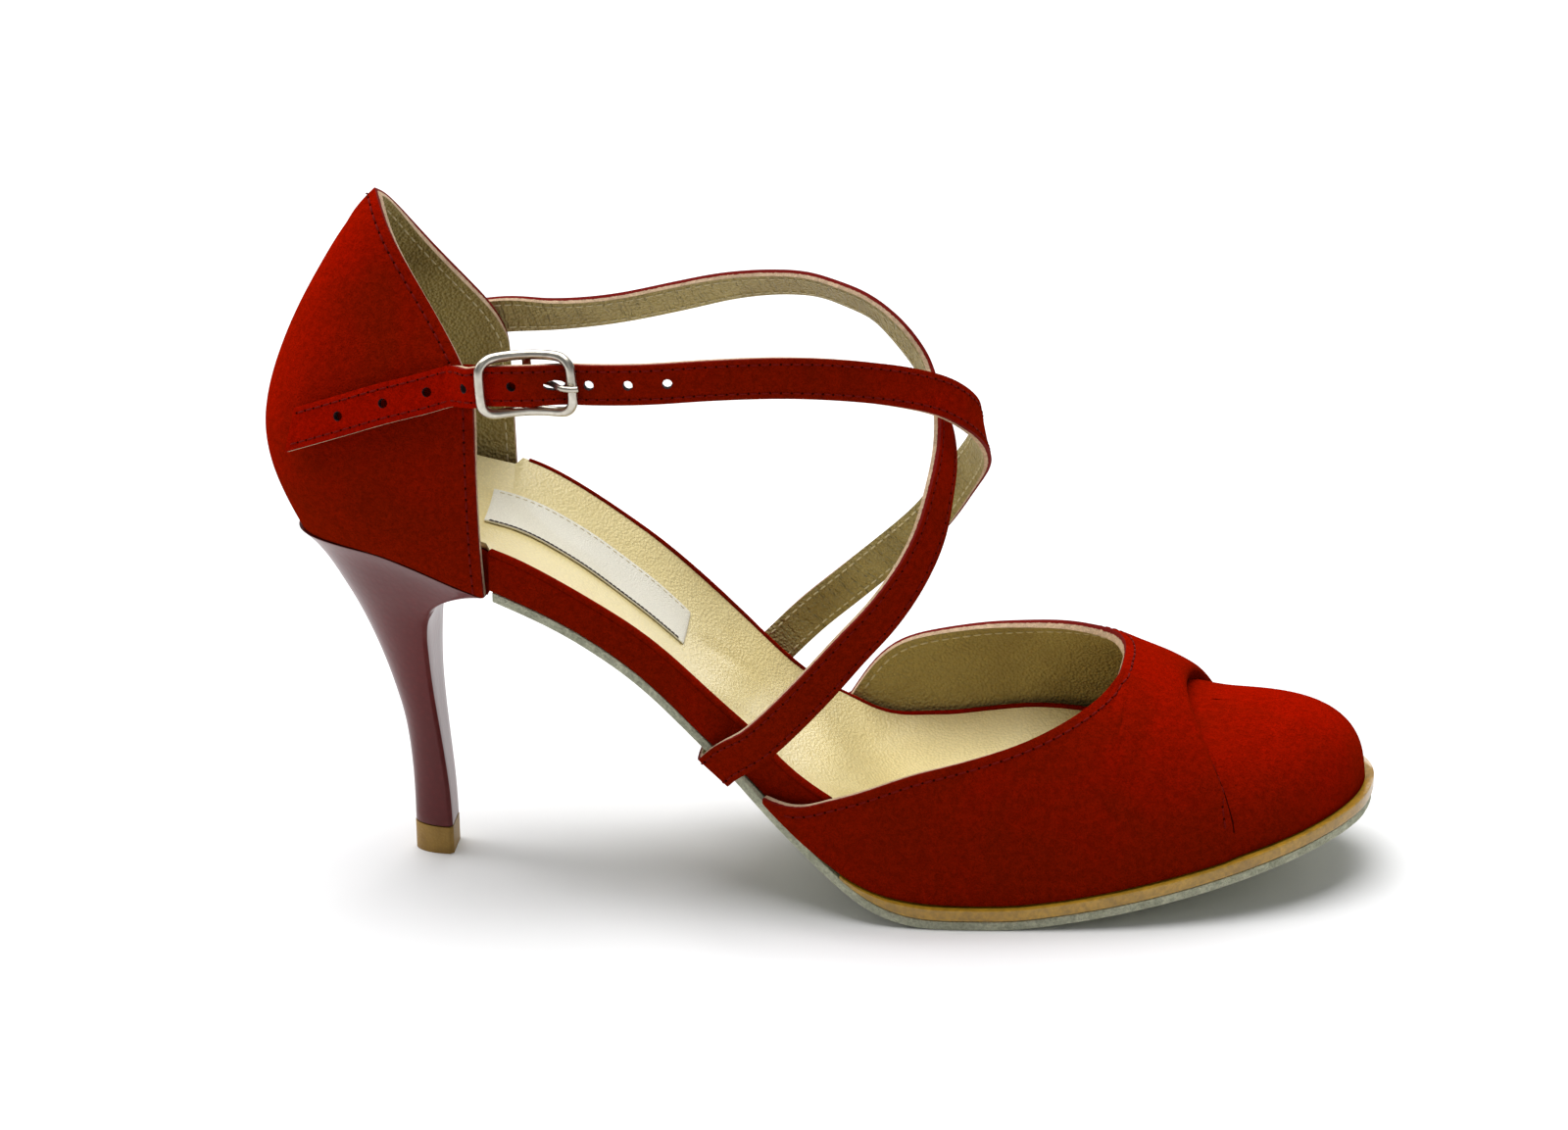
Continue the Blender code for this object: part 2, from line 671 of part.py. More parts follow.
def make_sock_label():
    rings = []
    for step in range(13):
        x = LABEL_START + LABEL_LENGTH * step / 12
        ys = [LABEL_SIDE + LABEL_WIDTH * share for share in (-0.5, -0.25, 0.0, 0.25, 0.5)]
        upper = [(x, y, sock_top(x, y) + 1.5 * GAP + LABEL_THICKNESS) for y in ys]
        lower = [(x, y, sock_top(x, y) + 1.5 * GAP) for y in reversed(ys)]
        rings.append(upper + lower)
    return loft("sock_label", rings, label_cloth)


def heel_ring(height_share, back, front, half, squareness):
    """A D-shaped section: round at the back, flat at the breast."""
    ring = []
    count = 12
    corner = min(0.0008, half * 0.2)
    for step in range(-count, count + 1):
        turn = math.pi / 2 * step / count
        along = math.cos(turn) ** (2 / squareness)
        side = math.copysign(abs(math.sin(turn)) ** (2 / squareness), turn)
        x = (front - corner) - (front - corner - back) * along
        ring.append((x, half * side))
    ring.append((front, half - corner))
    ring.append((front, -(half - corner)))
    return [(x, y, underside(x, y) * height_share) for x, y in ring]


def heel_section(drop):
    back = -TIP_BACK - (SEAT_BACK - TIP_BACK) * read(HEEL, "back", drop)
    front = TIP_FRONT + (HEEL_FRONT - TIP_FRONT) * read(HEEL, "breast", drop)
    seat_half = half_width(HEEL_FRONT - 0.0001)
    half = TIP_WIDTH / 2 + (seat_half - TIP_WIDTH / 2) * read(HEEL, "half", drop)
    squareness = 2.0 + (SEAT_SQUARENESS - 2.0) * (1 - blend(drop, 0.0, 0.35))
    return back, front, half, squareness


def make_heel():
    lift_top = 1 - (LIFT_THICKNESS + GAP) / SEAT_HEIGHT
    drops = [0.0, 0.02, 0.04, 0.07, 0.10, 0.13, 0.16, 0.19, 0.22, 0.26, 0.30, 0.35]
    drops += [0.40, 0.45, 0.50, 0.56, 0.62, 0.70, 0.80, lift_top]
    rings = [heel_ring(1 - drop, *heel_section(drop)) for drop in drops]
    return loft("heel", rings, heel_lacquer)


def make_top_lift():
    lift_top = 1 - LIFT_THICKNESS / SEAT_HEIGHT
    back, front, half, squareness = heel_section(lift_top)
    rings = [
        heel_ring(1 - lift_top, back - 0.0001, front + 0.0001, half + 0.0001, squareness),
        heel_ring(0.0, back - 0.0001, front + 0.0001, half + 0.0001, squareness),
    ]
    return loft("top_lift", rings, lift_rubber)


def shell(name, grid, material, thickness, weights, inwards):
    """A hollow wall from an open grid of points, thickened by Solidify to one side."""
    rows = len(grid[0])
    points = [point for column in grid for point in column]
    faces = []
    for i in range(len(grid) - 1):
        for j in range(rows - 1):
            faces.append((i * rows + j, (i + 1) * rows + j, (i + 1) * rows + j + 1, i * rows + j + 1))
    mesh = bpy.data.meshes.new(name)
    sheet = bmesh.new()
    share = sheet.verts.layers.deform.verify()
    corners = []
    for point, weight in zip(points, weights):
        corner = sheet.verts.new(point)
        corner[share][0] = weight
        corners.append(corner)
    for face in faces:
        sheet.faces.new([corners[i] for i in face])
    bmesh.ops.remove_doubles(sheet, verts=sheet.verts, dist=2e-6)
    bmesh.ops.dissolve_degenerate(sheet, edges=sheet.edges, dist=2e-6)
    sheet.to_mesh(mesh)
    sheet.free()
    mesh.shade_smooth()
    mesh.set_sharp_from_angle(angle=math.radians(40))
    made = bpy.data.objects.new(name, mesh)
    made.data.materials.append(material)
    made.vertex_groups.new(name="thickness")
    shoe.objects.link(made)
    wall = made.modifiers.new("wall", "SOLIDIFY")
    wall.thickness = thickness
    wall.offset = -1.0 if inwards else 1.0
    wall.use_quality_normals = True
    wall.vertex_group = "thickness"
    return made


def ridge_place(x):
    """Where the section that starts at the feather line at x reaches the ridge."""
    return x - RIDGE_PULL * read(RIDGE, "back", length_share(x))


def crown(x, y):
    return feather(x, y) + THROAT_HEIGHT * read(CROWN, "crown", length_share(x))


def throat_turn(x, side):
    """How far up its section, as an angle, the vamp reaches at x. It is a right angle where it is closed."""
    if x >= THROAT_FRONT:
        return math.pi / 2
    forward = (x - VAMP_START) / (THROAT_FRONT - VAMP_START)
    height = read(THROAT, "medial" if side > 0 else "lateral", forward)
    share = min(height / read(CROWN, "crown", length_share(x)), 1.0)
    return math.asin(share ** (SECTION_SQUARENESS / 2))


def overlay_rise(x, turn):
    """Extra thickness of the vamp behind its front edge, over the toe piece."""
    behind_edge = OVERLAY_EDGE - x
    behind = min(max(behind_edge / ROLL_LENGTH, 0.0), 1.0)
    roll = math.sqrt(behind * (2 - behind))
    grown = blend(x, THROAT_FRONT - ROLL_APPROACH, OVERLAY_EDGE - ROLL_LENGTH)
    growth = ROLL_LEAST + (1 - ROLL_LEAST) * grown
    up = math.sin(turn) ** 2
    return roll * (OVERLAY_FEATHER + (OVERLAY_RIDGE * growth - OVERLAY_FEATHER) * up)


def vamp_point(x, side, turn):
    """A point of the vamp's inner face: a superellipse section from the feather line to the ridge."""
    wall = VAMP_WALL + OVERLAY_FEATHER * (1 - blend(x, OVERLAY_EDGE, OVERLAY_EDGE + 0.0060))
    toe_start = TOE_REACH - TOE_ROUND
    foot_x = min(x, toe_start) + max(x - toe_start, 0.0) * (1 - wall / TOE_ROUND)
    half = half_width(foot_x, -wall, TOE_REACH - wall)
    foot_y = centre(foot_x) + side * half
    top_x = ridge_place(x)
    top_y = centre(top_x)
    ahead = blend(x, OVERLAY_EDGE, TOE_REACH)
    squareness = SECTION_SQUARENESS + TOE_BOXINESS * ahead
    out = math.cos(turn) ** (2 / squareness)
    up = math.sin(turn) ** (2 / squareness)
    foot_z = feather(foot_x, foot_y)
    top_z = crown(top_x, top_y)
    return (
        top_x + (foot_x - top_x) * out ** (2 - ahead),
        top_y + (foot_y - top_y) * out,
        foot_z + (top_z - foot_z) * up,
    )


def vamp_columns():
    """Places of the vamp's columns at the feather line, from a wing's end to the toe."""
    toe_start = TOE_REACH - TOE_ROUND
    spots = [VAMP_START + (THROAT_FRONT - VAMP_START) * share for share in (
        0.0, 0.06, 0.12, 0.18, 0.25, 0.33, 0.42, 0.51, 0.60, 0.69, 0.77, 0.84, 0.90, 0.95, 0.985, 1.0)]
    spots += [THROAT_FRONT + (OVERLAY_EDGE - THROAT_FRONT) * share for share in (0.28, 0.56, 0.78)]
    spots += [OVERLAY_EDGE - back for back in (0.0030, 0.0015, 0.0005, -0.0003)]
    tip = [toe_start + TOE_ROUND * math.sin(math.pi / 2 * step / 12) ** (2 / TOE_SQUARENESS) for step in range(6, 13)]
    spots += [x for x in tip if x > OVERLAY_EDGE + 0.0020]
    return spots


def make_vamp():
    rows = 10
    spots = vamp_columns()
    path = [(x, -1.0) for x in spots] + [(x, 1.0) for x in reversed(spots[:-1])]
    greatest = VAMP_WALL + OVERLAY_RIDGE
    grid = []
    weights = []
    for x, side in path:
        top = throat_turn(x, side)
        turns = [top * (row / (rows - 1)) for row in range(rows)]
        grid.append([vamp_point(x, side, turn) for turn in turns])
        weights += [(VAMP_WALL + overlay_rise(x, turn)) / greatest for turn in turns]
    return shell("vamp", grid, red_suede, greatest, weights, inwards=False)


def counter_foot(turn, side):
    """A point of the counter's lower edge, on the seat's outline."""
    angle = math.pi / 2 * turn
    x = COUNTER_FRONT - (COUNTER_FRONT + SEAT_BACK) * math.cos(angle) ** (2 / SEAT_SQUARENESS)
    y = side * body_half(x) * math.sin(angle) ** (2 / SEAT_SQUARENESS)
    return Vector((x, y, underside(x, y) + GAP))


def counter_head(turn, side):
    """A point of the counter's topline."""
    apex_x = -SEAT_BACK + APEX_FORWARD
    x = apex_x + (COUNTER_FRONT - 0.0008 - apex_x) * read(TOPLINE, "forward", turn)
    y = side * (body_half(0.0) - 0.0006) * read(TOPLINE, "spread", turn)
    z = COUNTER_TOP - (COUNTER_TOP - COUNTER_CORNER) * read(TOPLINE, "drop", turn)
    return Vector((x, y, z))


def counter_point(turn, side, level):
    foot = counter_foot(turn, side)
    head = counter_head(turn, side)
    angle = math.pi / 2 * turn
    outwards = Vector((-math.cos(angle), side * math.sin(angle), 0.0))
    bulge = SIDE_BULGE + (COUNTER_BULGE - SIDE_BULGE) * math.cos(angle) ** 1.6
    swell = bulge * read(SWELL, "swell", level)
    return foot.lerp(head, level) + outwards * swell


def counter_spot(x, z):
    """The turn and level at which the counter's outer face passes x and z."""
    turn, level, step = 0.7, 0.5, 0.25
    while step > 0.0005:
        near = [
            (min(max(turn + a * step, 0.1), 1.0), min(max(level + b * step, 0.0), 1.0))
            for a in (0, -1, 1) for b in (0, -1, 1)
        ]
        misses = []
        for spot in near:
            point = counter_point(spot[0], 1.0, spot[1])
            misses.append(math.hypot(point.x - x, point.z - z))
        best = misses.index(min(misses))
        if best == 0:
            step /= 2
        turn, level = near[best]
    return turn, level


def counter_side(x, z, side):
    """Where the counter's outer face passes x and z, and which way it looks there."""
    turn, level = counter_spot(x, z)
    step = 0.02
    along = counter_point(min(turn + step, 1.0), side, level) - counter_point(turn - step, side, level)
    up = counter_point(turn, side, min(level + step, 1.0)) - counter_point(turn, side, level - step)
    outwards = up.cross(along).normalized()
    if outwards.y * side < 0:
        outwards.negate()
    return counter_point(turn, side, level).y, outwards


def make_counter():
    levels = (0.0, 0.05, 0.11, 0.19, 0.29, 0.41, 0.54, 0.67, 0.80, 0.91, 1.0)
    turns = (0.0, 0.10, 0.22, 0.34, 0.46, 0.58, 0.70, 0.80, 0.90, 1.0)
    path = [(turn, 1.0) for turn in reversed(turns)] + [(turn, -1.0) for turn in turns[1:]]
    grid = [[tuple(counter_point(turn, side, level)) for level in levels] for turn, side in path]
    weights = [1.0] * (len(grid) * len(levels))
    return shell("counter", grid, red_suede, COUNTER_WALL, weights, inwards=True)


def route_frame(points, faces_out):
    """For each point of a route: its place, its direction, its face and its width's direction."""
    frames = []
    for i, point in enumerate(points):
        ahead = points[min(i + 1, len(points) - 1)] - points[max(i - 1, 0)]
        ahead.normalize()
        face = (faces_out[i] - ahead * faces_out[i].dot(ahead)).normalized()
        frames.append((point, ahead, face, ahead.cross(face)))
    return frames


def spline(values, count, beside=None):
    """Evenly numbered points of a smooth curve through vectors, or through others beside it."""
    beside = beside or values
    chords = [(end - start).length for start, end in zip(beside, beside[1:])]
    last = len(values) - 1
    slopes = []
    for i in range(last + 1):
        before = max(i - 1, 0)
        after = min(i, last - 1)
        steps = [(values[k + 1] - values[k]) / chords[k] for k in (before, after)]
        slopes.append((steps[0] * chords[after] + steps[1] * chords[before]) / (chords[before] + chords[after]))
    made = []
    for step in range(count):
        at = last * step / (count - 1)
        i = min(int(at), last - 1)
        t = at - i
        made.append(
            values[i] * (1 + 2 * t) * (1 - t) ** 2
            + slopes[i] * chords[i] * t * (1 - t) ** 2
            + values[i + 1] * t * t * (3 - 2 * t)
            + slopes[i + 1] * chords[i] * t * t * (t - 1)
        )
    return made


def leg_rows(rows):
    places = [Vector((STRAP_REACH * row.reach, STRAP_SPREAD * row.spread, STRAP_RISE * row.rise)) for row in rows]
    faces_out = [Vector((row.face_x, row.face_y, row.face_z)).normalized() for row in rows]
    return places, faces_out


def beside_sole(x, side, rise):
    """A point of the route beside the sole, with the strap standing a little off its edge."""
    y = centre(x) + side * (half_width(x) + STRAP_THICKNESS / 2 + STRAP_STANDOFF)
    return Vector((x, y, underside(x, y) + rise))


def sole_line(x, across):
    """A point of the sole's underside, at a share of its half-width."""
    y = centre(x) + across * half_width(x)
    return Vector((x, y, underside(x, y)))


def wrap_rows():
    """The strap's way down the outer side, under the waist and up the inner side."""
    places = [beside_sole(WRAP_START[0], -1.0, WRAP_START[1])]
    faces_out = [Vector((0.10, -1.0, -0.12))]
    reach = STRAP_WIDTH / 2
    for row in UNDER_WAIST:
        x = STRAP_REACH * row.reach
        across = row.across * (1 - STRAP_TUCK / half_width(x))
        edge = sole_line(x + reach, across) - sole_line(x - reach, across)
        edge.y *= EDGE_FOLLOWED
        edge.normalize()
        down = edge.cross(Vector((0.0, -1.0, 0.0))).normalized()
        outwards = edge.cross(down) * math.copysign(1.0, row.across)
        turn = math.pi / 2 * row.turned
        face = outwards * math.cos(turn) + down * math.sin(turn)
        standing = STRAP_THICKNESS / 2 + STRAP_STANDOFF + STRAP_TUCK
        places.append(sole_line(x, across) - down * STRAP_TUCK + face * standing)
        faces_out.append(face)
    places.append(beside_sole(WRAP_END[0], 1.0, WRAP_END[1]))
    faces_out.append(Vector((0.10, 1.0, -0.12)))
    return places, [face.normalized() for face in faces_out]


def root_rows():
    """The strap's sewn end, on the counter's inner side."""
    places = []
    faces_out = []
    for row in ON_COUNTER:
        x = STRAP_REACH * row.reach
        z = STRAP_RISE * row.rise
        wall, outwards = counter_side(x, z, 1.0)
        places.append(Vector((x, wall, z)) + outwards * (SEWN_CLEARANCE + STRAP_THICKNESS / 2))
        faces_out.append(outwards)
    return places, faces_out


def tail_rows():
    """Through the buckle and back over the counter's outer side."""
    places = []
    faces_out = []
    for row in THROUGH_BUCKLE:
        x = BUCKLE_CENTRE[0] + BUCKLE_LENGTH * row.along
        z = BUCKLE_CENTRE[1] + STRAP_WIDTH * row.lift
        places.append(Vector((x, -(BUCKLE_OUT + BUCKLE_BOW * row.bow), z)))
        faces_out.append(Vector((0.0, -1.0, 0.0)))
    for row in OVER_COUNTER:
        x = BUCKLE_CENTRE[0] + BUCKLE_LENGTH * row.along
        z = BUCKLE_CENTRE[1] + STRAP_WIDTH * row.lift
        wall, outwards = counter_side(x, z, -1.0)
        places.append(Vector((x, wall, z)) + outwards * (SEWN_CLEARANCE + STRAP_THICKNESS / 2))
        faces_out.append(outwards)
    return places, faces_out


def strap_frames():
    places = []
    faces_out = []
    for part_places, part_faces in (
        root_rows(), leg_rows(INNER_LEG), wrap_rows(), leg_rows(OUTER_LEG), tail_rows()
    ):
        places += part_places
        faces_out += part_faces
    count = 3 * len(places)
    return route_frame(spline(places, count), spline(faces_out, count, beside=places))


def strap_at(frames, x):
    """The strap's middle on the outer side, where it passes x on its way to the tail."""
    places = [frame[0] for frame in frames[len(frames) * 2 // 3:]]
    for start, end in zip(places, places[1:]):
        if start.x >= x >= end.x:
            return start.lerp(end, (start.x - x) / (start.x - end.x))
    return places[-1]


def strap_hole_cutters(frames):
    """A cutter for each punched hole, counted from the prong's along the strap."""
    lengths = [0.0]
    for (start, *_), (end, *_) in zip(frames, frames[1:]):
        lengths.append(lengths[-1] + (end - start).length)
    prong_x = BUCKLE_CENTRE[0] + BUCKLE_LENGTH * PRONG_PLACE
    prong_at = 0.0
    for i in range(len(frames) * 2 // 3, len(frames) - 1):
        start, end = frames[i][0], frames[i + 1][0]
        if start.x >= prong_x >= end.x:
            share = (start.x - prong_x) / (start.x - end.x)
            prong_at = lengths[i] + share * (lengths[i + 1] - lengths[i])
    made = []
    for number, place_in_row in enumerate(HOLES):
        at = prong_at + HOLE_PITCH * place_in_row
        i = min(bisect_right(lengths, at) - 1, len(frames) - 2)
        t = (at - lengths[i]) / (lengths[i + 1] - lengths[i])
        place = frames[i][0].lerp(frames[i + 1][0], t)
        face = frames[i][2].lerp(frames[i + 1][2], t).normalized()
        along = frames[i][1].lerp(frames[i + 1][1], t).normalized()
        across = face.cross(along).normalized()
        bpy.ops.mesh.primitive_cylinder_add(vertices=10, radius=HOLE_WIDTH / 2, depth=3 * STRAP_THICKNESS)
        cutter = bpy.context.object
        cutter.name = f"hole_cutter_{number + 1}"
        if place_in_row == 0.0:
            cutter.data.transform(Matrix.Diagonal((PRONG_SLOT / HOLE_WIDTH, 1.05, 1.0, 1.0)))
        cutter.matrix_world = frame_matrix(along, across, along.cross(across), place)
        hide_as_cutter(cutter)
        made.append(cutter)
    return made


def frame_matrix(x_axis, y_axis, z_axis, place):
    turned = Matrix((x_axis, y_axis, z_axis)).transposed().to_4x4()
    turned.translation = place
    return turned


def hide_as_cutter(cutter):
    for home in list(cutter.users_collection):
        home.objects.unlink(cutter)
    cutters.objects.link(cutter)
    cutter.hide_render = True
    cutter.display_type = "WIRE"


def make_strap():
    frames = strap_frames()
    rings = []
    wide = STRAP_WIDTH / 2
    thick = STRAP_THICKNESS / 2
    for i, (place, ahead, face, across) in enumerate(frames):
        slant = TAIL_SLANT * max(0, i - (len(frames) - 2))
        rings.append([
            place + across * wide + face * thick - ahead * slant,
            place - across * wide + face * thick + ahead * slant,
            place - across * wide - face * thick + ahead * slant,
            place + across * wide - face * thick - ahead * slant,
        ])
    strap = loft("strap", rings, red_suede)
    for cutter in strap_hole_cutters(frames):
        cut = strap.modifiers.new(cutter.name, "BOOLEAN")
        cut.operation = "DIFFERENCE"
        cut.object = cutter
    return strap


def wire_object(name, points, radius, cyclic, material):
    """A bent wire, as a mesh with welded caps."""
    curve = bpy.data.curves.new(name, "CURVE")
    curve.dimensions = "3D"
    curve.bevel_depth = radius
    curve.bevel_resolution = 2
    curve.use_fill_caps = True
    line = curve.splines.new("POLY")
    line.points.add(len(points) - 1)
    for spot, point in zip(line.points, points):
        spot.co = (*point, 1.0)
    line.use_cyclic_u = cyclic
    bent = bpy.data.objects.new(name + "_curve", curve)
    bpy.context.scene.collection.objects.link(bent)
    graph = bpy.context.evaluated_depsgraph_get()
    mesh = bpy.data.meshes.new_from_object(bent.evaluated_get(graph))
    welded = bmesh.new()
    welded.from_mesh(mesh)
    bmesh.ops.remove_doubles(welded, verts=welded.verts, dist=2e-6)
    bmesh.ops.recalc_face_normals(welded, faces=welded.faces)
    welded.to_mesh(mesh)
    welded.free()
    mesh.shade_smooth()
    made = bpy.data.objects.new(name, mesh)
    made.matrix_world = bent.matrix_world
    mesh.materials.clear()
    mesh.materials.append(material)
    shoe.objects.link(made)
    bpy.data.objects.remove(bent)
    return made


def buckle_outline():
    """The frame's rounded outline: u along the strap and w up, from the buckle's centre."""
    long_half = (BUCKLE_LENGTH - BUCKLE_WIRE) / 2
    high_half = (BUCKLE_HEIGHT - BUCKLE_WIRE) / 2
    straight = long_half - BUCKLE_CORNER
    outline = []
    for quarter, (sign_u, sign_w) in enumerate(((1, 1), (-1, 1), (-1, -1), (1, -1))):
        for step in range(5):
            angle = math.pi / 2 * (quarter + step / 4)
            u = sign_u * straight + BUCKLE_CORNER * math.cos(angle)
            w = sign_w * (high_half - BUCKLE_CORNER) + BUCKLE_CORNER * math.sin(angle)
            outline.append((u, w))
        if quarter in (0, 2):
            for share in (0.6, 0.2, -0.2, -0.6):
                outline.append((sign_u * straight * share, sign_w * high_half))
    return outline


def buckle_place(u, w):
    """A point of the buckle, whose frame is bent round the ankle."""
    share = 2 * u / (BUCKLE_LENGTH - BUCKLE_WIRE)
    y = CENTRE_BAR_Y + (END_BAR_Y - CENTRE_BAR_Y) * share**2
    x = BUCKLE_CENTRE[0] + u * math.cos(BUCKLE_TILT) - w * math.sin(BUCKLE_TILT)
    z = BUCKLE_CENTRE[1] + u * math.sin(BUCKLE_TILT) + w * math.cos(BUCKLE_TILT)
    return Vector((x, y, z))


def make_buckle_frame():
    """A rounded frame with a bar across its middle."""
    ring = wire_object("buckle_frame", [buckle_place(u, w) for u, w in buckle_outline()], BUCKLE_WIRE / 2, True, nickel)
    reach = (BUCKLE_HEIGHT - BUCKLE_WIRE) / 2
    ends = [buckle_place(0.0, -reach), buckle_place(0.0, reach)]
    bar = wire_object("centre_bar", ends, BUCKLE_BAR / 2, False, nickel)
    hide_as_cutter(bar)
    joined = ring.modifiers.new("centre_bar", "BOOLEAN")
    joined.operation = "UNION"
    joined.object = bar
    return ring


def make_buckle_prong(frames):
    """The prong, from beside the centre bar through the strap's slot and over the end bar."""
    radius = PRONG_WIRE / 2
    end_x = BUCKLE_CENTRE[0] + (BUCKLE_LENGTH - BUCKLE_WIRE) / 2
    over_bar = END_BAR_Y - BUCKLE_WIRE / 2 - GAP - radius
    loop_reach = BUCKLE_BAR / 2 + GAP + LOOP_THICKNESS
    start_x = BUCKLE_CENTRE[0] + loop_reach + GAP
    in_slot = strap_at(frames, BUCKLE_CENTRE[0] + BUCKLE_LENGTH * PRONG_PLACE)
    z = in_slot.z
    route = [
        Vector((start_x, CENTRE_BAR_Y - 0.0001, z)),
        Vector((start_x + 0.0012, CENTRE_BAR_Y - 0.0006, z)),
        Vector((in_slot.x, in_slot.y - 0.0003, z)),
        Vector((end_x - 0.0020, over_bar + 0.0006, z)),
        Vector((end_x, over_bar, z)),
        Vector((end_x + 0.0014, over_bar + 0.0002, z)),
    ]
    return wire_object("buckle_prong", spline(route, 16), radius, False, nickel)


def make_buckle_loop():
    """The leather chape: from inside the counter, round the centre bar and back."""
    radius = BUCKLE_BAR / 2 + GAP + LOOP_THICKNESS / 2
    bar_x = BUCKLE_CENTRE[0]
    low_z = BUCKLE_CENTRE[1] - LOOP_DROP - LOOP_WIDTH / 2
    high_z = low_z + LOOP_WIDTH
    low_route = []
    high_route = []
    for x in (COUNTER_FRONT - 0.0060, COUNTER_FRONT - 0.0010):
        for route, z in ((low_route, low_z), (high_route, high_z)):
            wall, outwards = counter_side(x, z, -1.0)
            inset = COUNTER_WALL + SEWN_CLEARANCE + LOOP_THICKNESS / 2
            route.append(Vector((x, wall, z)) - outwards * inset)
    round_bar = [(-0.0035, radius + 0.0003)]
    for step in range(7):
        angle = math.pi / 2 - math.pi * step / 6
        round_bar.append((radius * math.cos(angle), radius * math.sin(angle)))
    round_bar += [(-0.0030, -radius * 0.85), (-0.0062, -radius * 0.15)]
    for route, z in ((low_route, low_z), (high_route, high_z)):
        route += [Vector((bar_x + along, CENTRE_BAR_Y + out, z)) for along, out in round_bar]
    rings = []
    lows = spline(low_route, 2 * len(low_route))
    highs = spline(high_route, 2 * len(high_route))
    thick = LOOP_THICKNESS / 2
    for i, (low, high) in enumerate(zip(lows, highs)):
        after = min(i + 1, len(lows) - 1)
        before = max(i - 1, 0)
        side_low = (high - low).cross(lows[after] - lows[before]).normalized()
        side_high = (high - low).cross(highs[after] - highs[before]).normalized()
        rings.append([
            high + side_high * thick,
            high - side_high * thick,
            low - side_low * thick,
            low + side_low * thick,
        ])
    return loft("buckle_loop", rings, red_suede)


def material(name, colour, roughness, metallic=0.0):
    made = bpy.data.materials.new(name)
    made.use_nodes = True
    shader = made.node_tree.nodes["Principled BSDF"]
    shader.inputs["Base Color"].default_value = (*colour, 1.0)
    shader.inputs["Roughness"].default_value = roughness
    shader.inputs["Metallic"].default_value = metallic
    return made


for old in list(bpy.data.objects):
    bpy.data.objects.remove(old)

shoe = bpy.data.collections.new("tango_shoe")
cutters = bpy.data.collections.new("cutters")
for collection in (shoe, cutters):
    bpy.context.scene.collection.children.link(collection)

red_suede = material("red_suede", (0.42, 0.008, 0.002), 0.9)
suede_sole = material("suede_sole", (0.26, 0.26, 0.17), 0.95)
amber_edge = material("amber_edge", (0.48, 0.20, 0.02), 0.35)
sock_leather = material("sock_leather", (0.72, 0.60, 0.36), 0.45)
label_cloth = material("label_cloth", (0.75, 0.73, 0.62), 0.8)
heel_lacquer = material("heel_lacquer", (0.11, 0.012, 0.012), 0.18)
lift_rubber = material("lift_rubber", (0.24, 0.12, 0.03), 0.5)
nickel = material("nickel", (0.62, 0.60, 0.55), 0.25, 1.0)

make_outsole()
make_midsole()
make_insole_board()
make_insole()
make_sock_label()
make_heel()
make_top_lift()
make_vamp()
make_counter()
make_strap()
strap_route = strap_frames()
make_buckle_frame()
make_buckle_prong(strap_route)
make_buckle_loop()
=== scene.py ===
# %% [markdown]
# # A tango shoe in red suede
# The shoe has a closed toe, a pointed heel counter and a slim lacquered heel. One long strap
# crosses over the instep and ends in a small buckle.
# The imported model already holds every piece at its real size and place. Here each piece gets
# a smooth skin, its own finish, its stitches and its small folds.

# %% Load the frame
import heapq
import math

import bmesh
import bpy
from mathutils import Matrix, Vector
from mathutils.bvhtree import BVHTree
from mathutils.kdtree import KDTree


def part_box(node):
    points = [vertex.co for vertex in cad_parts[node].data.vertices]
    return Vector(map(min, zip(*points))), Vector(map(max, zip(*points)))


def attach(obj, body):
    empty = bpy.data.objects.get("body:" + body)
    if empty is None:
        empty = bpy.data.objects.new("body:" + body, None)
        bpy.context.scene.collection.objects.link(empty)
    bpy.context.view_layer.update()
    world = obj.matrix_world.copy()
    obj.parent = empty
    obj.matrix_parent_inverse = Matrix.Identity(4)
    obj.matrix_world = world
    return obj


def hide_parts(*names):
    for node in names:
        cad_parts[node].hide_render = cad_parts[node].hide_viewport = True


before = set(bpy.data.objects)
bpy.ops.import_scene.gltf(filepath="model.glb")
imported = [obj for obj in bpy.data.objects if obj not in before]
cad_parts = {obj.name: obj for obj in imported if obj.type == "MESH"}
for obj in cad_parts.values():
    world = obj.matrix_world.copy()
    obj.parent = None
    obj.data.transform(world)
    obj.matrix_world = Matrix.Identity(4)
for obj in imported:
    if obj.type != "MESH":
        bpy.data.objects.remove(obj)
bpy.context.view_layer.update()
MM = 0.001
print("nodes:", ", ".join(sorted(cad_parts)))

# %% [markdown]
# ## The camera
# The picture was taken with a long lens, a little above the shoe and square to its outer side.
# A camera could be aimed with a constraint, but writing its three directions down keeps
# the slight roll of the picture too.

# %% Camera
LENS_MM = 104.31
camera_data = bpy.data.cameras.new("camera")
camera_data.lens = LENS_MM
camera_data.sensor_width = 36.0
camera = bpy.data.objects.new("camera", camera_data)
bpy.context.collection.objects.link(camera)

EYE = Vector((0.1567, -0.8652, 0.3714))
LOOK = Vector((-0.09035, 0.93830, -0.33381))
RIGHT = Vector((0.99572, 0.09178, -0.01152))
up = RIGHT.cross(LOOK).normalized()
turned = Matrix((RIGHT, up, -LOOK)).transposed().to_4x4()
turned.translation = EYE
camera.matrix_world = turned
bpy.context.scene.camera = camera
print("camera at", [round(v, 3) for v in camera.location])

# %% [markdown]
# ## Floor and light
# The shoe stands on a white sweep under a large soft light. Most of the light falls from
# above, so the tops glow and the upright sides stay deep. A weak light from each side
# puts the pale streaks on the lacquered heel.

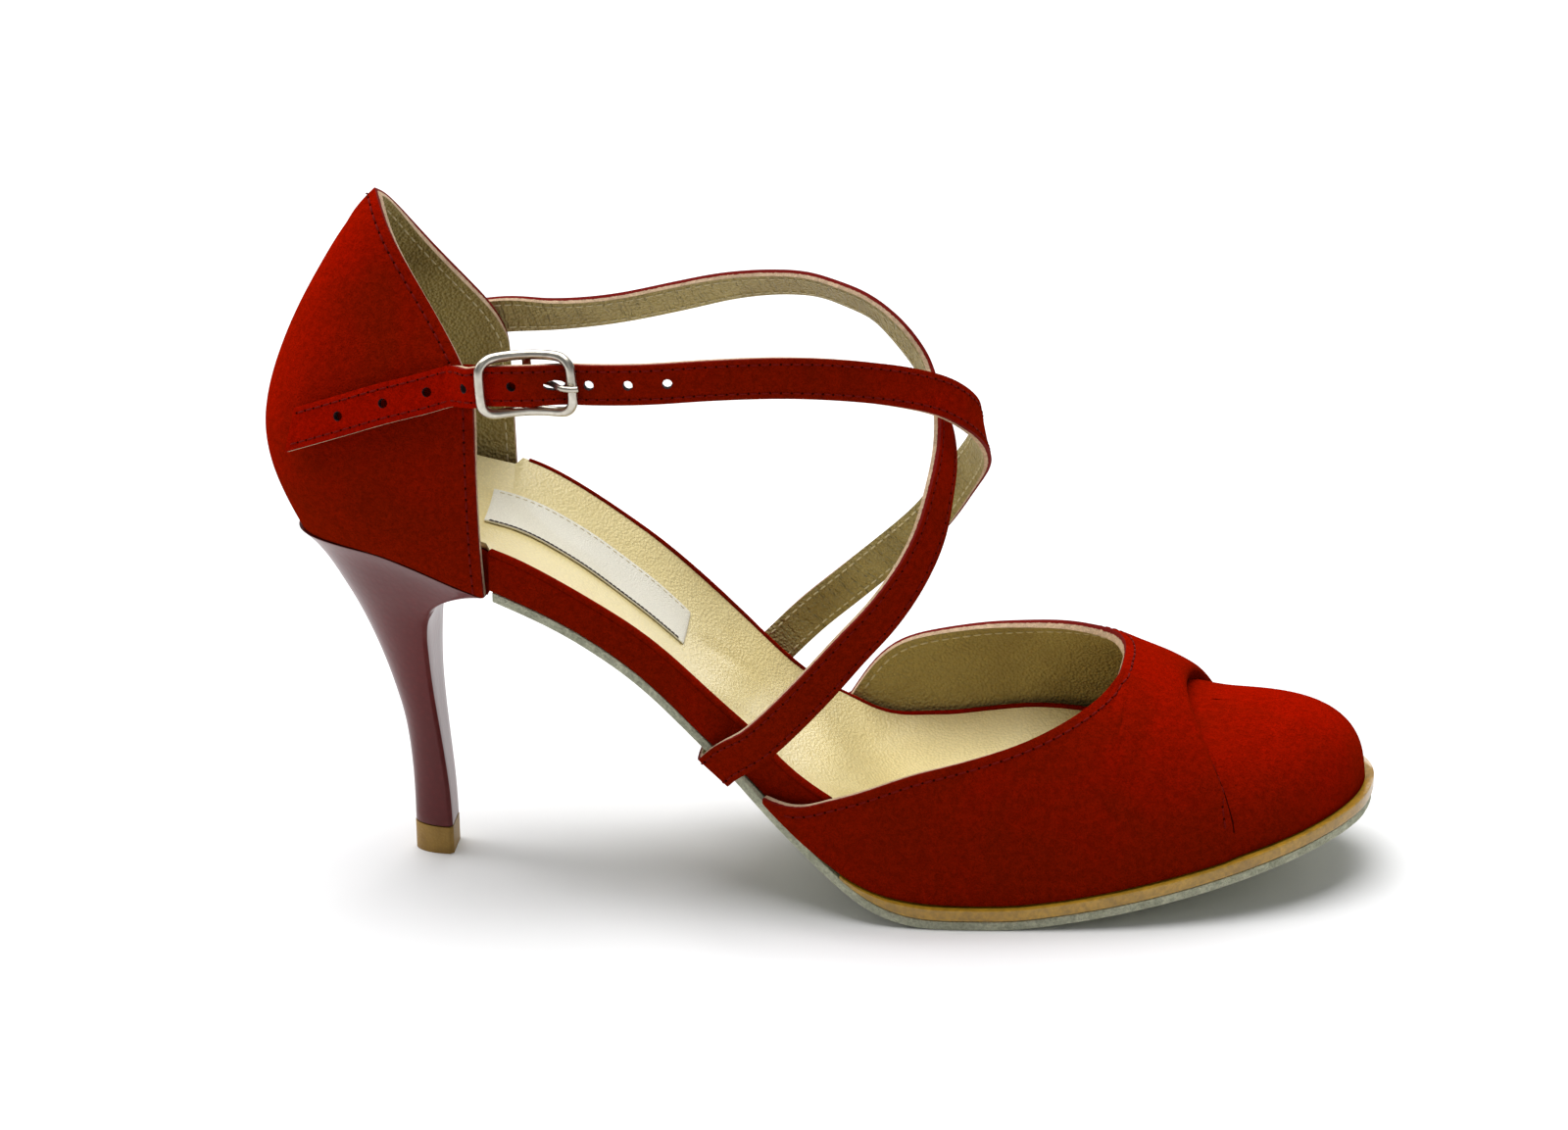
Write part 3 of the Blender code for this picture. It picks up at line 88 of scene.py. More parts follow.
# %% Floor, lights and world
bpy.ops.mesh.primitive_plane_add(size=9.0, location=(0.08, 0.6, 0.0))
floor = bpy.context.object
floor.name = "floor"
paper = bpy.data.materials.new("white_paper")
paper.use_nodes = True
paper_shader = paper.node_tree.nodes["Principled BSDF"]
paper_shader.inputs["Base Color"].default_value = (0.85, 0.85, 0.853, 1.0)
paper_shader.inputs["Roughness"].default_value = 0.85
floor.data.materials.append(paper)


def soft_light(name, place, target, size, power):
    """A square area light that looks at target."""
    lamp = bpy.data.lights.new(name, "AREA")
    lamp.shape = "SQUARE"
    lamp.size = size
    lamp.energy = power
    light = bpy.data.objects.new(name, lamp)
    bpy.context.collection.objects.link(light)
    light.location = place
    light.rotation_euler = (Vector(target) - Vector(place)).to_track_quat("-Z", "Y").to_euler()


MIDDLE = (0.085, 0.0, 0.05)
soft_light("top_light", (-0.25, 0.45, 2.2), (0.085, 0.20, 0.0), 2.3, 84.0)
soft_light("left_light", (-1.3, 0.5, 0.8), MIDDLE, 0.7, 5.0)
soft_light("back_light", (0.5, 1.9, 0.5), MIDDLE, 0.9, 6.0)
soft_light("front_light", (0.3, -2.0, 1.1), MIDDLE, 1.2, 1.5)

world = bpy.data.worlds.new("studio")
world.use_nodes = True
world.node_tree.nodes["Background"].inputs["Color"].default_value = (0.95, 0.97, 1.0, 1.0)
world.node_tree.nodes["Background"].inputs["Strength"].default_value = 0.22
bpy.context.scene.world = world
bpy.context.scene.view_settings.view_transform = "Standard"

# %% [markdown]
# ## Grain and nap as node groups
# Suede is brushed fibre: it has broad strokes where the nap lies another way, and a fine
# mottle from the fibre ends. Smooth leather has pores and small creases instead.
# Each effect is built once as a group with its own inputs, and every material that needs it
# gives it its own colours and scales. An image texture would be quicker to place, but
# it would stretch over the curves of the upper.

# %% Node helpers
def add_node(tree, kind, **values):
    """A node with its inputs or properties set by name."""
    node = tree.nodes.new(kind)
    for name, value in values.items():
        label = name.replace("_", " ")
        if label in node.inputs:
            node.inputs[label].default_value = value
        else:
            setattr(node, name, value)
    return node


def new_group(name, inputs, outputs):
    """An empty node group with named sockets, and its input and output nodes."""
    group = bpy.data.node_groups.new(name, "ShaderNodeTree")
    for label, kind in inputs:
        group.interface.new_socket(label, in_out="INPUT", socket_type=kind)
    for label, kind in outputs:
        group.interface.new_socket(label, in_out="OUTPUT", socket_type=kind)
    return group, group.nodes.new("NodeGroupInput"), group.nodes.new("NodeGroupOutput")


# The Mix node has sockets of the same name for each kind of data. These are the colour ones.
COLOUR_A = 6
COLOUR_B = 7
COLOUR_RESULT = 2


def mix_colours(tree, factor, first, second, mode="MIX"):
    """A Mix node for colours, with sockets or plain values put in."""
    mix = add_node(tree, "ShaderNodeMix", data_type="RGBA", blend_type=mode)
    sockets = (mix.inputs["Factor"], mix.inputs[COLOUR_A], mix.inputs[COLOUR_B])
    for socket, value in zip(sockets, (factor, first, second)):
        if hasattr(value, "links"):
            tree.links.new(value, socket)
        else:
            socket.default_value = value
    return mix.outputs[COLOUR_RESULT]


def remap(tree, value, low, high, to_low=0.0, to_high=1.0):
    """A value spread from low..high to another range."""
    spread = add_node(tree, "ShaderNodeMapRange", interpolation_type="SMOOTHSTEP")
    spread.inputs["From Min"].default_value = low
    spread.inputs["From Max"].default_value = high
    spread.inputs["To Min"].default_value = to_low
    spread.inputs["To Max"].default_value = to_high
    tree.links.new(value, spread.inputs["Value"])
    return spread.outputs["Result"]


def sums(tree, first, second, share):
    """first plus second times share."""
    scaled = add_node(tree, "ShaderNodeMath", operation="MULTIPLY_ADD")
    tree.links.new(second, scaled.inputs[0])
    scaled.inputs[1].default_value = share
    tree.links.new(first, scaled.inputs[2])
    return scaled.outputs[0]


# %% [markdown]
# The nap group mixes a deep and a bright red by broad strokes, and speckles them with two
# sizes of fibre. Its brush input says where the nap is brushed, and it also carries painted top light and
# painted highlights.

# %% The nap group
nap, nap_in, nap_out = new_group(
    "nap",
    (("Deep", "NodeSocketColor"), ("Bright", "NodeSocketColor"), ("Stroke Scale", "NodeSocketFloat"),
     ("Fibre Scale", "NodeSocketFloat"), ("Brush", "NodeSocketFloat")),
    (("Color", "NodeSocketColor"), ("Height", "NodeSocketFloat")),
)
place = nap.nodes.new("ShaderNodeTexCoord")
strokes = add_node(nap, "ShaderNodeTexNoise", Detail=5.0, Roughness=0.55, Distortion=1.4)
fibres = add_node(nap, "ShaderNodeTexNoise", Detail=3.0, Roughness=0.7)
tufts = add_node(nap, "ShaderNodeTexNoise", Detail=2.0, Roughness=0.6)
third = add_node(nap, "ShaderNodeMath", operation="MULTIPLY")
third.inputs[1].default_value = 0.30
nap.links.new(nap_in.outputs["Stroke Scale"], strokes.inputs["Scale"])
nap.links.new(nap_in.outputs["Fibre Scale"], fibres.inputs["Scale"])
nap.links.new(nap_in.outputs["Fibre Scale"], third.inputs[0])
nap.links.new(third.outputs[0], tufts.inputs["Scale"])
for texture in (strokes, fibres, tufts):
    nap.links.new(place.outputs["Object"], texture.inputs["Vector"])
# The brush input pushes the strokes towards the bright red: brushed nap, painted top light and painted
# highlights.
brush_and_light = remap(nap, sums(nap, nap_in.outputs["Brush"], strokes.outputs["Fac"], 1.1), 0.35, 1.45)
nap_colour = mix_colours(nap, brush_and_light, nap_in.outputs["Deep"], nap_in.outputs["Bright"])
mottle = remap(nap, tufts.outputs["Fac"], 0.35, 0.65, 0.88, 1.10)
speck = remap(nap, fibres.outputs["Fac"], 0.30, 0.70, 0.80, 1.18)
nap_colour = mix_colours(nap, 1.0, nap_colour, mottle, "MULTIPLY")
nap_colour = mix_colours(nap, 1.0, nap_colour, speck, "MULTIPLY")
nap.links.new(nap_colour, nap_out.inputs["Color"])
nap.links.new(sums(nap, fibres.outputs["Fac"], tufts.outputs["Fac"], 0.8), nap_out.inputs["Height"])
print("nap:", len(nap.nodes), "nodes")

# %% [markdown]
# The leather group gives soft patches of two tones, with fine pores between them. The same
# group with other scales serves for the linings, the sock, the label, the lacquer and the metal.

# %% The leather group
leather, leather_in, leather_out = new_group(
    "leather_grain",
    (("Light", "NodeSocketColor"), ("Dark", "NodeSocketColor"), ("Patch Scale", "NodeSocketFloat"),
     ("Pore Scale", "NodeSocketFloat")),
    (("Color", "NodeSocketColor"), ("Height", "NodeSocketFloat")),
)
place = leather.nodes.new("ShaderNodeTexCoord")
patches = add_node(leather, "ShaderNodeTexNoise", Detail=4.0, Roughness=0.5, Distortion=0.8)
pores = add_node(leather, "ShaderNodeTexVoronoi", feature="F1")
wander = add_node(leather, "ShaderNodeTexNoise", Scale=220.0, Detail=3.0)
leather.links.new(leather_in.outputs["Patch Scale"], patches.inputs["Scale"])
leather.links.new(leather_in.outputs["Pore Scale"], pores.inputs["Scale"])
for texture in (patches, pores, wander):
    leather.links.new(place.outputs["Object"], texture.inputs["Vector"])
leather_colour = mix_colours(
    leather, remap(leather, patches.outputs["Fac"], 0.35, 0.70), leather_in.outputs["Light"],
    leather_in.outputs["Dark"])
pits = remap(leather, pores.outputs["Distance"], 0.15, 0.60, 1.0, 0.90)
leather_colour = mix_colours(leather, 1.0, leather_colour, pits, "MULTIPLY")
leather.links.new(leather_colour, leather_out.inputs["Color"])
leather_height = sums(leather, pores.outputs["Distance"], wander.outputs["Fac"], 0.9)
leather.links.new(leather_height, leather_out.inputs["Height"])
print("groups:", [group.name for group in bpy.data.node_groups])

# %% [markdown]
# ## The materials
# Every finish on the shoe is a Principled shader. The red suede gets a little sheen, which
# lights up its fibres along the outlines, the lacquers get a clear coat, and the linings a
# low gloss.

# %% Material helpers
def finish(name, colour=(0.5, 0.5, 0.5), roughness=0.6, **sockets):
    """A material with the plain values of its Principled shader set."""
    material = bpy.data.materials.new(name)
    material.use_nodes = True
    shader = material.node_tree.nodes["Principled BSDF"]
    shader.inputs["Base Color"].default_value = (*colour, 1.0)
    shader.inputs["Roughness"].default_value = roughness
    for socket, value in sockets.items():
        shader.inputs[socket.replace("_", " ")].default_value = value
    return material


def textured(material, group, depth, strength=1.0, **values):
    """Feed a material's colour and bump from a node group."""
    tree = material.node_tree
    shader = tree.nodes["Principled BSDF"]
    effect = tree.nodes.new("ShaderNodeGroup")
    effect.node_tree = group
    for socket, value in values.items():
        effect.inputs[socket.replace("_", " ")].default_value = value
    bump = add_node(tree, "ShaderNodeBump", Distance=depth, Strength=strength)
    tree.links.new(effect.outputs["Height"], bump.inputs["Height"])
    tree.links.new(bump.outputs["Normal"], shader.inputs["Normal"])
    tree.links.new(effect.outputs["Color"], shader.inputs["Base Color"])
    return material


# %% [markdown]
# The red suede reads a value stored on each suede skin: 0 where the nap lies down, 1 where it
# is brushed up. The same value holds painted top light on faces that look up and painted
# highlights round set spots. It could be painted, but a stored value needs no picture.

# %% The suede
# The nap mixes these two reds by its strokes and by the stored value, so the bright red is partly painted
# top light and painted highlight.
DEEP_RED = (0.165, 0.0068, 0.0004, 1.0)
BRIGHT_RED = (0.300, 0.0045, 0.0001, 1.0)


def read_attribute(material, attribute, group_input):
    """Feed an input of the material's effect from an attribute of the mesh."""
    tree = material.node_tree
    stored = add_node(tree, "ShaderNodeAttribute", attribute_name=attribute)
    effect = next(node for node in tree.nodes if node.type == "GROUP")
    tree.links.new(stored.outputs["Fac"], effect.inputs[group_input])
    return material


suede = textured(
    finish("red_suede", roughness=0.95, Sheen_Weight=0.08, Sheen_Roughness=0.45,
           Sheen_Tint=(1.0, 0.05, 0.0, 1.0), Specular_IOR_Level=0.0),
    nap, 0.00030, Deep=DEEP_RED, Bright=BRIGHT_RED, Stroke_Scale=34.0, Fibre_Scale=2600.0)
read_attribute(suede, "brush_and_light", "Brush")
print("suede reads:", [node.attribute_name for node in suede.node_tree.nodes if node.type == "ATTRIBUTE"])

# %% [markdown]
# A cut edge shows its layers: red suede outside, then the pale raw leather, then the lining.
# "across" is stored on the edge faces, from 0 at the outside to 1 at the lining.

# %% Cut edges
def layered_edge(name, red_share):
    """A cut edge that is red up to a share of its width, and pale beyond."""
    made = textured(
        finish(name, roughness=0.9, Specular_IOR_Level=0.15),
        nap, 0.00020, Deep=(0.42, 0.28, 0.17, 1.0), Bright=(0.62, 0.45, 0.30, 1.0),
        Stroke_Scale=160.0, Fibre_Scale=3000.0, Brush=0.35)
    tree = made.node_tree
    stored = add_node(tree, "ShaderNodeAttribute", attribute_name="across")
    place = tree.nodes.new("ShaderNodeTexCoord")
    fray = add_node(tree, "ShaderNodeTexNoise", Scale=1400.0, Detail=2.0)
    tree.links.new(place.outputs["Object"], fray.inputs["Vector"])
    torn = sums(tree, stored.outputs["Fac"], fray.outputs["Fac"], 0.25)
    share = remap(tree, torn, red_share + 0.08, red_share + 0.17)
    effect = next(node for node in tree.nodes if node.type == "GROUP")
    colour = mix_colours(tree, share, (0.16, 0.003, 0.001, 1.0), effect.outputs["Color"])
    tree.links.new(colour, tree.nodes["Principled BSDF"].inputs["Base Color"])
    return made


wall_edge = layered_edge("wall_edge", 0.42)
strap_edge = layered_edge("strap_edge", 0.50)
print("edges:", wall_edge.name, strap_edge.name)

# %% [markdown]
# The linings are thin beige leather. The sock is paler and softer, with a light finish, and
# the label on it is a flat pale cloth.

# %% The linings and the sock
lining = textured(
    finish("beige_lining", roughness=0.55, Specular_IOR_Level=0.35),
    leather, 0.00040, Light=(0.42, 0.33, 0.12, 1.0), Dark=(0.31, 0.23, 0.075, 1.0),
    Patch_Scale=45.0, Pore_Scale=1500.0)
# Near-black painted shade, for the walls of the punched holes and under the label's near edge.
painted_shade_black = finish("painted_shade_black", (0.030, 0.012, 0.014), 0.9)
sock_leather = textured(
    finish("sock_leather", roughness=0.40, Specular_IOR_Level=0.5, Coat_Weight=0.25, Coat_Roughness=0.30),
    leather, 0.00016, Light=(0.90, 0.76, 0.38, 1.0), Dark=(0.82, 0.67, 0.30, 1.0),
    Patch_Scale=32.0, Pore_Scale=1700.0)
label_cloth = textured(
    finish("label_cloth", roughness=0.8),
    leather, 0.00010, Light=(0.90, 0.87, 0.75, 1.0), Dark=(0.83, 0.79, 0.65, 1.0),
    Patch_Scale=40.0, Pore_Scale=3000.0)
print("inside:", lining.name, sock_leather.name, label_cloth.name)

# %% [markdown]
# The heel is sprayed and polished, so it has a clear coat. The amber edge is stained
# and lacquered, the outsole is left as rough suede, and the buckle is nickel.

# %% The sole, the heel and the metal
lacquer = textured(
    finish("heel_lacquer", roughness=0.32, Specular_IOR_Level=0.2, Coat_Weight=0.22, Coat_Roughness=0.08),
    leather, 0.00002, Light=(0.115, 0.007, 0.007, 1.0), Dark=(0.095, 0.006, 0.006, 1.0),
    Patch_Scale=30.0, Pore_Scale=700.0)
rubber = textured(
    finish("lift_rubber", roughness=0.5, Specular_IOR_Level=0.4),
    leather, 0.00008, Light=(0.36, 0.20, 0.030, 1.0), Dark=(0.28, 0.15, 0.020, 1.0),
    Patch_Scale=160.0, Pore_Scale=1800.0)
amber = textured(
    finish("amber_edge", roughness=0.35, Coat_Weight=0.5, Coat_Roughness=0.2),
    nap, 0.00005, Deep=(0.32, 0.165, 0.008, 1.0), Bright=(0.46, 0.255, 0.016, 1.0),
    Stroke_Scale=60.0, Fibre_Scale=900.0, Brush=0.35)
sole_suede = textured(
    finish("suede_sole", roughness=0.95, Specular_IOR_Level=0.15),
    nap, 0.00050, Deep=(0.36, 0.37, 0.26, 1.0), Bright=(0.56, 0.56, 0.42, 1.0),
    Stroke_Scale=130.0, Fibre_Scale=1700.0, Brush=0.35)
red_thread = finish("red_thread", (0.15, 0.003, 0.001), 0.8, Specular_IOR_Level=0.1)
pale_thread = finish("pale_thread", (0.58, 0.50, 0.30), 0.7, Specular_IOR_Level=0.2)
# Dark red painted shade, for the needle holes and under the roll's front edge.
painted_shade_red = finish("painted_shade_red", (0.034, 0.002, 0.001), 0.95, Specular_IOR_Level=0.0)
nickel = textured(
    finish("nickel", roughness=0.30, Metallic=1.0),
    leather, 0.00001, Light=(0.62, 0.58, 0.50, 1.0), Dark=(0.50, 0.46, 0.38, 1.0),
    Patch_Scale=250.0, Pore_Scale=900.0)
print("materials:", len(bpy.data.materials))

# %% [markdown]
# ## How a skin is made
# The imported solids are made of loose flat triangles. For each piece a copy is taken,
# its points are merged and its triangles joined back to the quads they came from. Where two
# faces meet at a hard corner the edge is creased, so that subdivision rounds
# the form but keeps the corner, and a small bevel then breaks it as a cut leather edge does.

# %% Skin helpers
OUTER, LINING, EDGE, HIDDEN = range(4)
STEP_ANGLE = math.radians(24)
SAME_POINT = 2e-6
QUAD_FOLD = math.radians(35)
QUAD_SKEW = math.radians(70)
HOLE_FACES = 4
HOLE_AREA = 20 * MM * MM
ROUND_ANGLE = 50
PAINTED_TOP_LIGHT = 0.55
BRUSH_AND_LIGHT_MOST = 1.1
TINY = 1e-9


def only(piece):
    """Make piece the one selected and active object."""
    bpy.ops.object.select_all(action="DESELECT")
    piece.select_set(True)
    bpy.context.view_layer.objects.active = piece


def skin_of(node, name):
    """A copy of a CAD node, merged and joined to quads, as a new piece."""
    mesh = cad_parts[node].data.copy()
    mesh.name = name
    mesh.materials.clear()
    piece = bpy.data.objects.new(name, mesh)
    bpy.context.collection.objects.link(piece)
    only(piece)
    if mesh.has_custom_normals:
        bpy.ops.mesh.customdata_custom_splitnormals_clear()
    bpy.ops.object.mode_set(mode="EDIT")
    bpy.ops.mesh.select_all(action="SELECT")
    bpy.ops.mesh.remove_doubles(threshold=SAME_POINT)
    bpy.ops.mesh.tris_convert_to_quads(face_threshold=QUAD_FOLD, shape_threshold=QUAD_SKEW)
    bpy.ops.object.mode_set(mode="OBJECT")
    return piece


def face_groups(shape, sharp):
    """Groups of faces that no sharp edge parts, largest first."""
    seen = set()
    groups = []
    for face in shape.faces:
        if face in seen:
            continue
        seen.add(face)
        group = [face]
        for member in group:
            for edge in member.edges:
                if edge.calc_face_angle(0.0) < sharp:
                    for other in edge.link_faces:
                        if other not in seen:
                            seen.add(other)
                            group.append(other)
        groups.append(group)
    groups.sort(key=lambda group: -sum(face.calc_area() for face in group))
    return groups


def looks_out(group, inside):
    """How much a group of faces looks away from a point."""
    return sum(face.calc_area() * face.normal.dot(face.calc_center_median() - inside) for face in group)


def crease_corners(piece, degrees, inside=None, foot_below=None):
    """Crease the hard corners. With a point inside the shoe given, also sort a wall's faces
    into outer face, lining, cut edge, and what the sole hides or a punch has cut."""
    sharp = math.radians(degrees)
    shape = bmesh.new()
    shape.from_mesh(piece.data)
    crease = shape.edges.layers.float.new("crease_edge")
    for edge in shape.edges:
        angle = edge.calc_face_angle(0.0)
        folded_in = angle >= STEP_ANGLE and not edge.is_convex
        edge[crease] = 1.0 if angle >= sharp or folded_in else 0.0
    groups = face_groups(shape, sharp)
    if inside is not None:
        walls = sorted(groups[:2], key=lambda group: -looks_out(group, Vector(inside)))
        for kind, group in zip((OUTER, LINING), walls):
            for face in group:
                face.material_index = kind
        for group in groups[2:]:
            height = sum(face.calc_center_median().z for face in group) / len(group)
            area = sum(face.calc_area() for face in group)
            punched = len(group) > HOLE_FACES and area < HOLE_AREA
            kind = HIDDEN if punched or (foot_below and height < foot_below) else EDGE
            for face in group:
                face.material_index = kind
    shape.to_mesh(piece.data)
    shape.free()


def apply_modifier(piece, kind, **settings):
    """Add a modifier with the given settings and apply it."""
    modifier = piece.modifiers.new(kind.title(), kind)
    for name, value in settings.items():
        setattr(modifier, name, value)
    only(piece)
    bpy.ops.object.modifier_apply(modifier=modifier.name)


def smooth_out(piece, levels):
    """Subdivide a skin, which rounds it between its creases."""
    apply_modifier(piece, "SUBSURF", levels=levels, render_levels=levels)


def round_edges(piece, width, degrees=ROUND_ANGLE):
    """Break the hard corners with a small bevel, and shade the rest smooth."""
    limit = math.radians(degrees)
    apply_modifier(piece, "BEVEL", width=width, segments=2, limit_method="ANGLE", angle_limit=limit)
    only(piece)
    bpy.ops.object.shade_smooth_by_angle(angle=limit)


def store(piece, name, values):
    """Store one value for each point of a piece."""
    piece.data.attributes.new(name, "FLOAT", "POINT").data.foreach_set("value", values)


def store_across(piece):
    """Store how far across a cut edge each point lies, from the outside to the lining."""
    mesh = piece.data
    kinds = [set() for _ in mesh.vertices]
    for face in mesh.polygons:
        for vertex in face.vertices:
            kinds[vertex].add(face.material_index)
    trees = []
    for kind in (OUTER, LINING):
        border = [i for i, found in enumerate(kinds) if found >= {kind, EDGE}]
        tree = KDTree(len(border))
        for i in border:
            tree.insert(mesh.vertices[i].co, i)
        tree.balance()
        trees.append(tree)
    values = []
    for i, found in enumerate(kinds):
        outside = inside = 1.0
        if EDGE in found:
            outside, inside = (tree.find(mesh.vertices[i].co)[2] for tree in trees)
        values.append(outside / max(outside + inside, TINY))
    store(piece, "across", values)


def store_brush_and_light(piece, spots=()):
    """Store how brushed the nap is, together with painted light: painted top light on faces that look up,
    and painted highlights round the given spots.
    """
    values = []
    for vertex in piece.data.vertices:
        # Painted top light: the more a face looks up, the more bright red it gets.
        value = PAINTED_TOP_LIGHT * min(max(vertex.normal.z, 0.0), 1.0)
        for centre, radius, amount in spots:
            value += amount * math.exp(-(((vertex.co - Vector(centre)).length / radius) ** 2))
        values.append(min(value, BRUSH_AND_LIGHT_MOST))
    store(piece, "brush_and_light", values)


def dress(piece, materials, slot, *nodes):
    """Give a piece its materials and its body, and hide the nodes it stands for. The slot is not used."""
    for material in materials:
        piece.data.materials.append(material)
    if nodes:
        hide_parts(*nodes)
    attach(piece, "root")
    print(piece.name, len(piece.data.polygons), "faces")


# %% [markdown]
# ## How a crease is made
# A crease in leather is a soft trough with a low ridge beside it, and it fades out at both
# ends. It could be painted as bump, but then the outline would stay straight. So the
# points near a short path are pushed in and out by given amounts.

# %% Crease helper
CREASE_REACH = 2.5
CREASE_RIDGE = 1.1
CREASE_FADE = 0.8
CREASE_TIP = 0.02


def press_crease(piece, path, depth, width):
    """Push a soft trough with a ridge on each side along a path of points."""
    points = [Vector(point) for point in path]
    spans = list(zip(points, points[1:]))
    whole = sum((end - start).length for start, end in spans)
    for vertex in piece.data.vertices:
        nearest, along, gone = 1.0, 0.0, 0.0
        for start, end in spans:
            line = end - start
            share = min(max((vertex.co - start).dot(line) / line.length_squared, 0.0), 1.0)
            distance = (vertex.co - start - line * share).length
            if distance < nearest:
                nearest = distance
                along = (gone + share * line.length) / whole
            gone += line.length
        reach = nearest / width
        if reach < CREASE_REACH:
            fade = math.sin(math.pi * min(max(along, CREASE_TIP), 1.0 - CREASE_TIP)) ** CREASE_FADE
            trough = (1.0 - CREASE_RIDGE * reach**2) * math.exp(-(reach**2))
            vertex.co -= vertex.normal * depth * fade * trough
    piece.data.update()


def press_creases(piece, creases):
    """Press a table of creases, each with its path, and its depth and width in millimetres."""
    for path, depth, width in creases:
        press_crease(piece, path, depth * MM, width * MM)
    print(piece.name, len(creases), "creases")


# %% [markdown]
# ## How stitches are made
# A stitch row runs at a set distance from the edge of the piece. The border between two
# kinds of faces is walked in order, each of its points is moved inwards over the
# surface, and small rounded threads are laid end to end along that line. Each thread has only
# a few faces, because there are hundreds.

# %% Stitch helpers
SHORTEST_WALK = 4
SHORTEST_BORDER = 6
SHORTEST_ROW = 4
TOO_CLOSE = 0.8


def border_lines(piece, kind, rim):
    """The borders between two kinds of faces, in order: points, ways in and normals."""
    shape = bmesh.new()
    shape.from_mesh(piece.data)
    neighbours = {}
    for edge in shape.edges:
        kinds = {face.material_index for face in edge.link_faces}
        if kinds == {kind, rim}:
            for vertex in edge.verts:
                neighbours.setdefault(vertex, []).append(edge.other_vert(vertex))
    ends = [vertex for vertex in neighbours if len(neighbours[vertex]) == 1]
    unused = set(neighbours)
    lines = []
    for start in ends + list(neighbours):
        if start not in unused:
            continue
        walk = [start]
        unused.discard(start)
        while True:
            onward = [vertex for vertex in neighbours[walk[-1]] if vertex in unused]
            if not onward:
                break
            walk.append(onward[0])
            unused.discard(onward[0])
        line = []
        for i, vertex in enumerate(walk):
            faces = [face for face in vertex.link_faces if face.material_index == kind]
            if len(walk) < SHORTEST_WALK or not faces:
                continue
            normal = sum((face.normal for face in faces), Vector()).normalized()
            middle = sum((face.calc_center_median() for face in faces), Vector()) / len(faces)
            along = (walk[min(i + 1, len(walk) - 1)].co - walk[max(i - 1, 0)].co).normalized()
            inwards = normal.cross(along).normalized()
            if inwards.dot(middle - vertex.co) < 0:
                inwards.negate()
            line.append((vertex.co.copy(), inwards, normal))
        if len(line) > SHORTEST_BORDER:
            lines.append(line)
    shape.free()
    return lines


def inset_lines(piece, kind, rim, inset, keep=None):
    """Lines on the surface at a set distance in from a border."""
    mesh = piece.data
    faces = [tuple(face.vertices) for face in mesh.polygons if face.material_index == kind]
    surface = BVHTree.FromPolygons([vertex.co for vertex in mesh.vertices], faces)
    borders = border_lines(piece, kind, rim)
    count = sum(len(line) for line in borders)
    rims = KDTree(count)
    for i, (point, _, _) in enumerate(entry for line in borders for entry in line):
        rims.insert(point, i)
    rims.balance()
    made = []
    for line in borders:
        moved = []
        for point, inwards, normal in line:
            spot, facing, _, _ = surface.find_nearest(point + inwards * inset)
            close = rims.find(spot)[2] < TOO_CLOSE * inset
            if close or (keep and not keep(spot)):
                if len(moved) > SHORTEST_ROW:
                    made.append(moved)
                moved = []
                continue
            moved.append((spot, facing))
        if len(moved) > SHORTEST_ROW:
            made.append(moved)
    return made


def evenly(line, step):
    """Points, directions and normals at even steps along a line."""
    lengths = [0.0]
    for (start, _), (end, _) in zip(line, line[1:]):
        lengths.append(lengths[-1] + (end - start).length)
    count = max(int(lengths[-1] / step), 1)
    made = []
    i = 0
    for number in range(count):
        at = (number + 0.5) * lengths[-1] / count
        while lengths[i + 1] < at:
            i += 1
        share = (at - lengths[i]) / max(lengths[i + 1] - lengths[i], TINY)
        point = line[i][0].lerp(line[i + 1][0], share)
        normal = line[i][1].lerp(line[i + 1][1], share).normalized()
        made.append((point, (line[i + 1][0] - line[i][0]).normalized(), normal))
    return made


# Each ring of a thread: its place along the thread, its width, and how far it sinks.
THREAD_PROFILE = ((-0.5, 0.45, -0.55), (-0.28, 1.0, 0.0), (0.28, 1.0, 0.0), (0.5, 0.45, -0.55))
THREAD_SIDES = 6
THREAD_FLAT = 0.7
THREAD_LIFT = 0.25
WALL_PITCH = 2.3 * MM


def stitch_row(name, lines, material, slot, pitch=WALL_PITCH, length=1.75 * MM, thick=0.42 * MM):
    """Threads laid along lines, as one mesh."""
    points = []
    faces = []
    for line in lines:
        for spot, along, normal in evenly(line, pitch):
            side = normal.cross(along).normalized()
            first = len(points)
            for reach, swell, sink in THREAD_PROFILE:
                for corner in range(THREAD_SIDES):
                    angle = 2 * math.pi * corner / THREAD_SIDES
                    height = THREAD_FLAT * math.sin(angle) + sink + THREAD_LIFT
                    across = side * math.cos(angle) + normal * height
                    width = thick / 2 * swell
                    points.append(spot + along * length * reach + across * width)
            for ring in range(len(THREAD_PROFILE) - 1):
                for corner in range(THREAD_SIDES):
                    a = first + ring * THREAD_SIDES + corner
                    b = first + ring * THREAD_SIDES + (corner + 1) % THREAD_SIDES
                    faces.append((b, a, a + THREAD_SIDES, b + THREAD_SIDES))
            faces.append(tuple(range(first, first + THREAD_SIDES)))
            last = len(points) - THREAD_SIDES
            faces.append(tuple(reversed(range(last, last + THREAD_SIDES))))
    mesh_piece(name, points, faces, material, slot)


HOLE_SIDES = 8
HOLE_LIFT = 0.03 * MM
HOLE_DEEP = 0.30 * MM


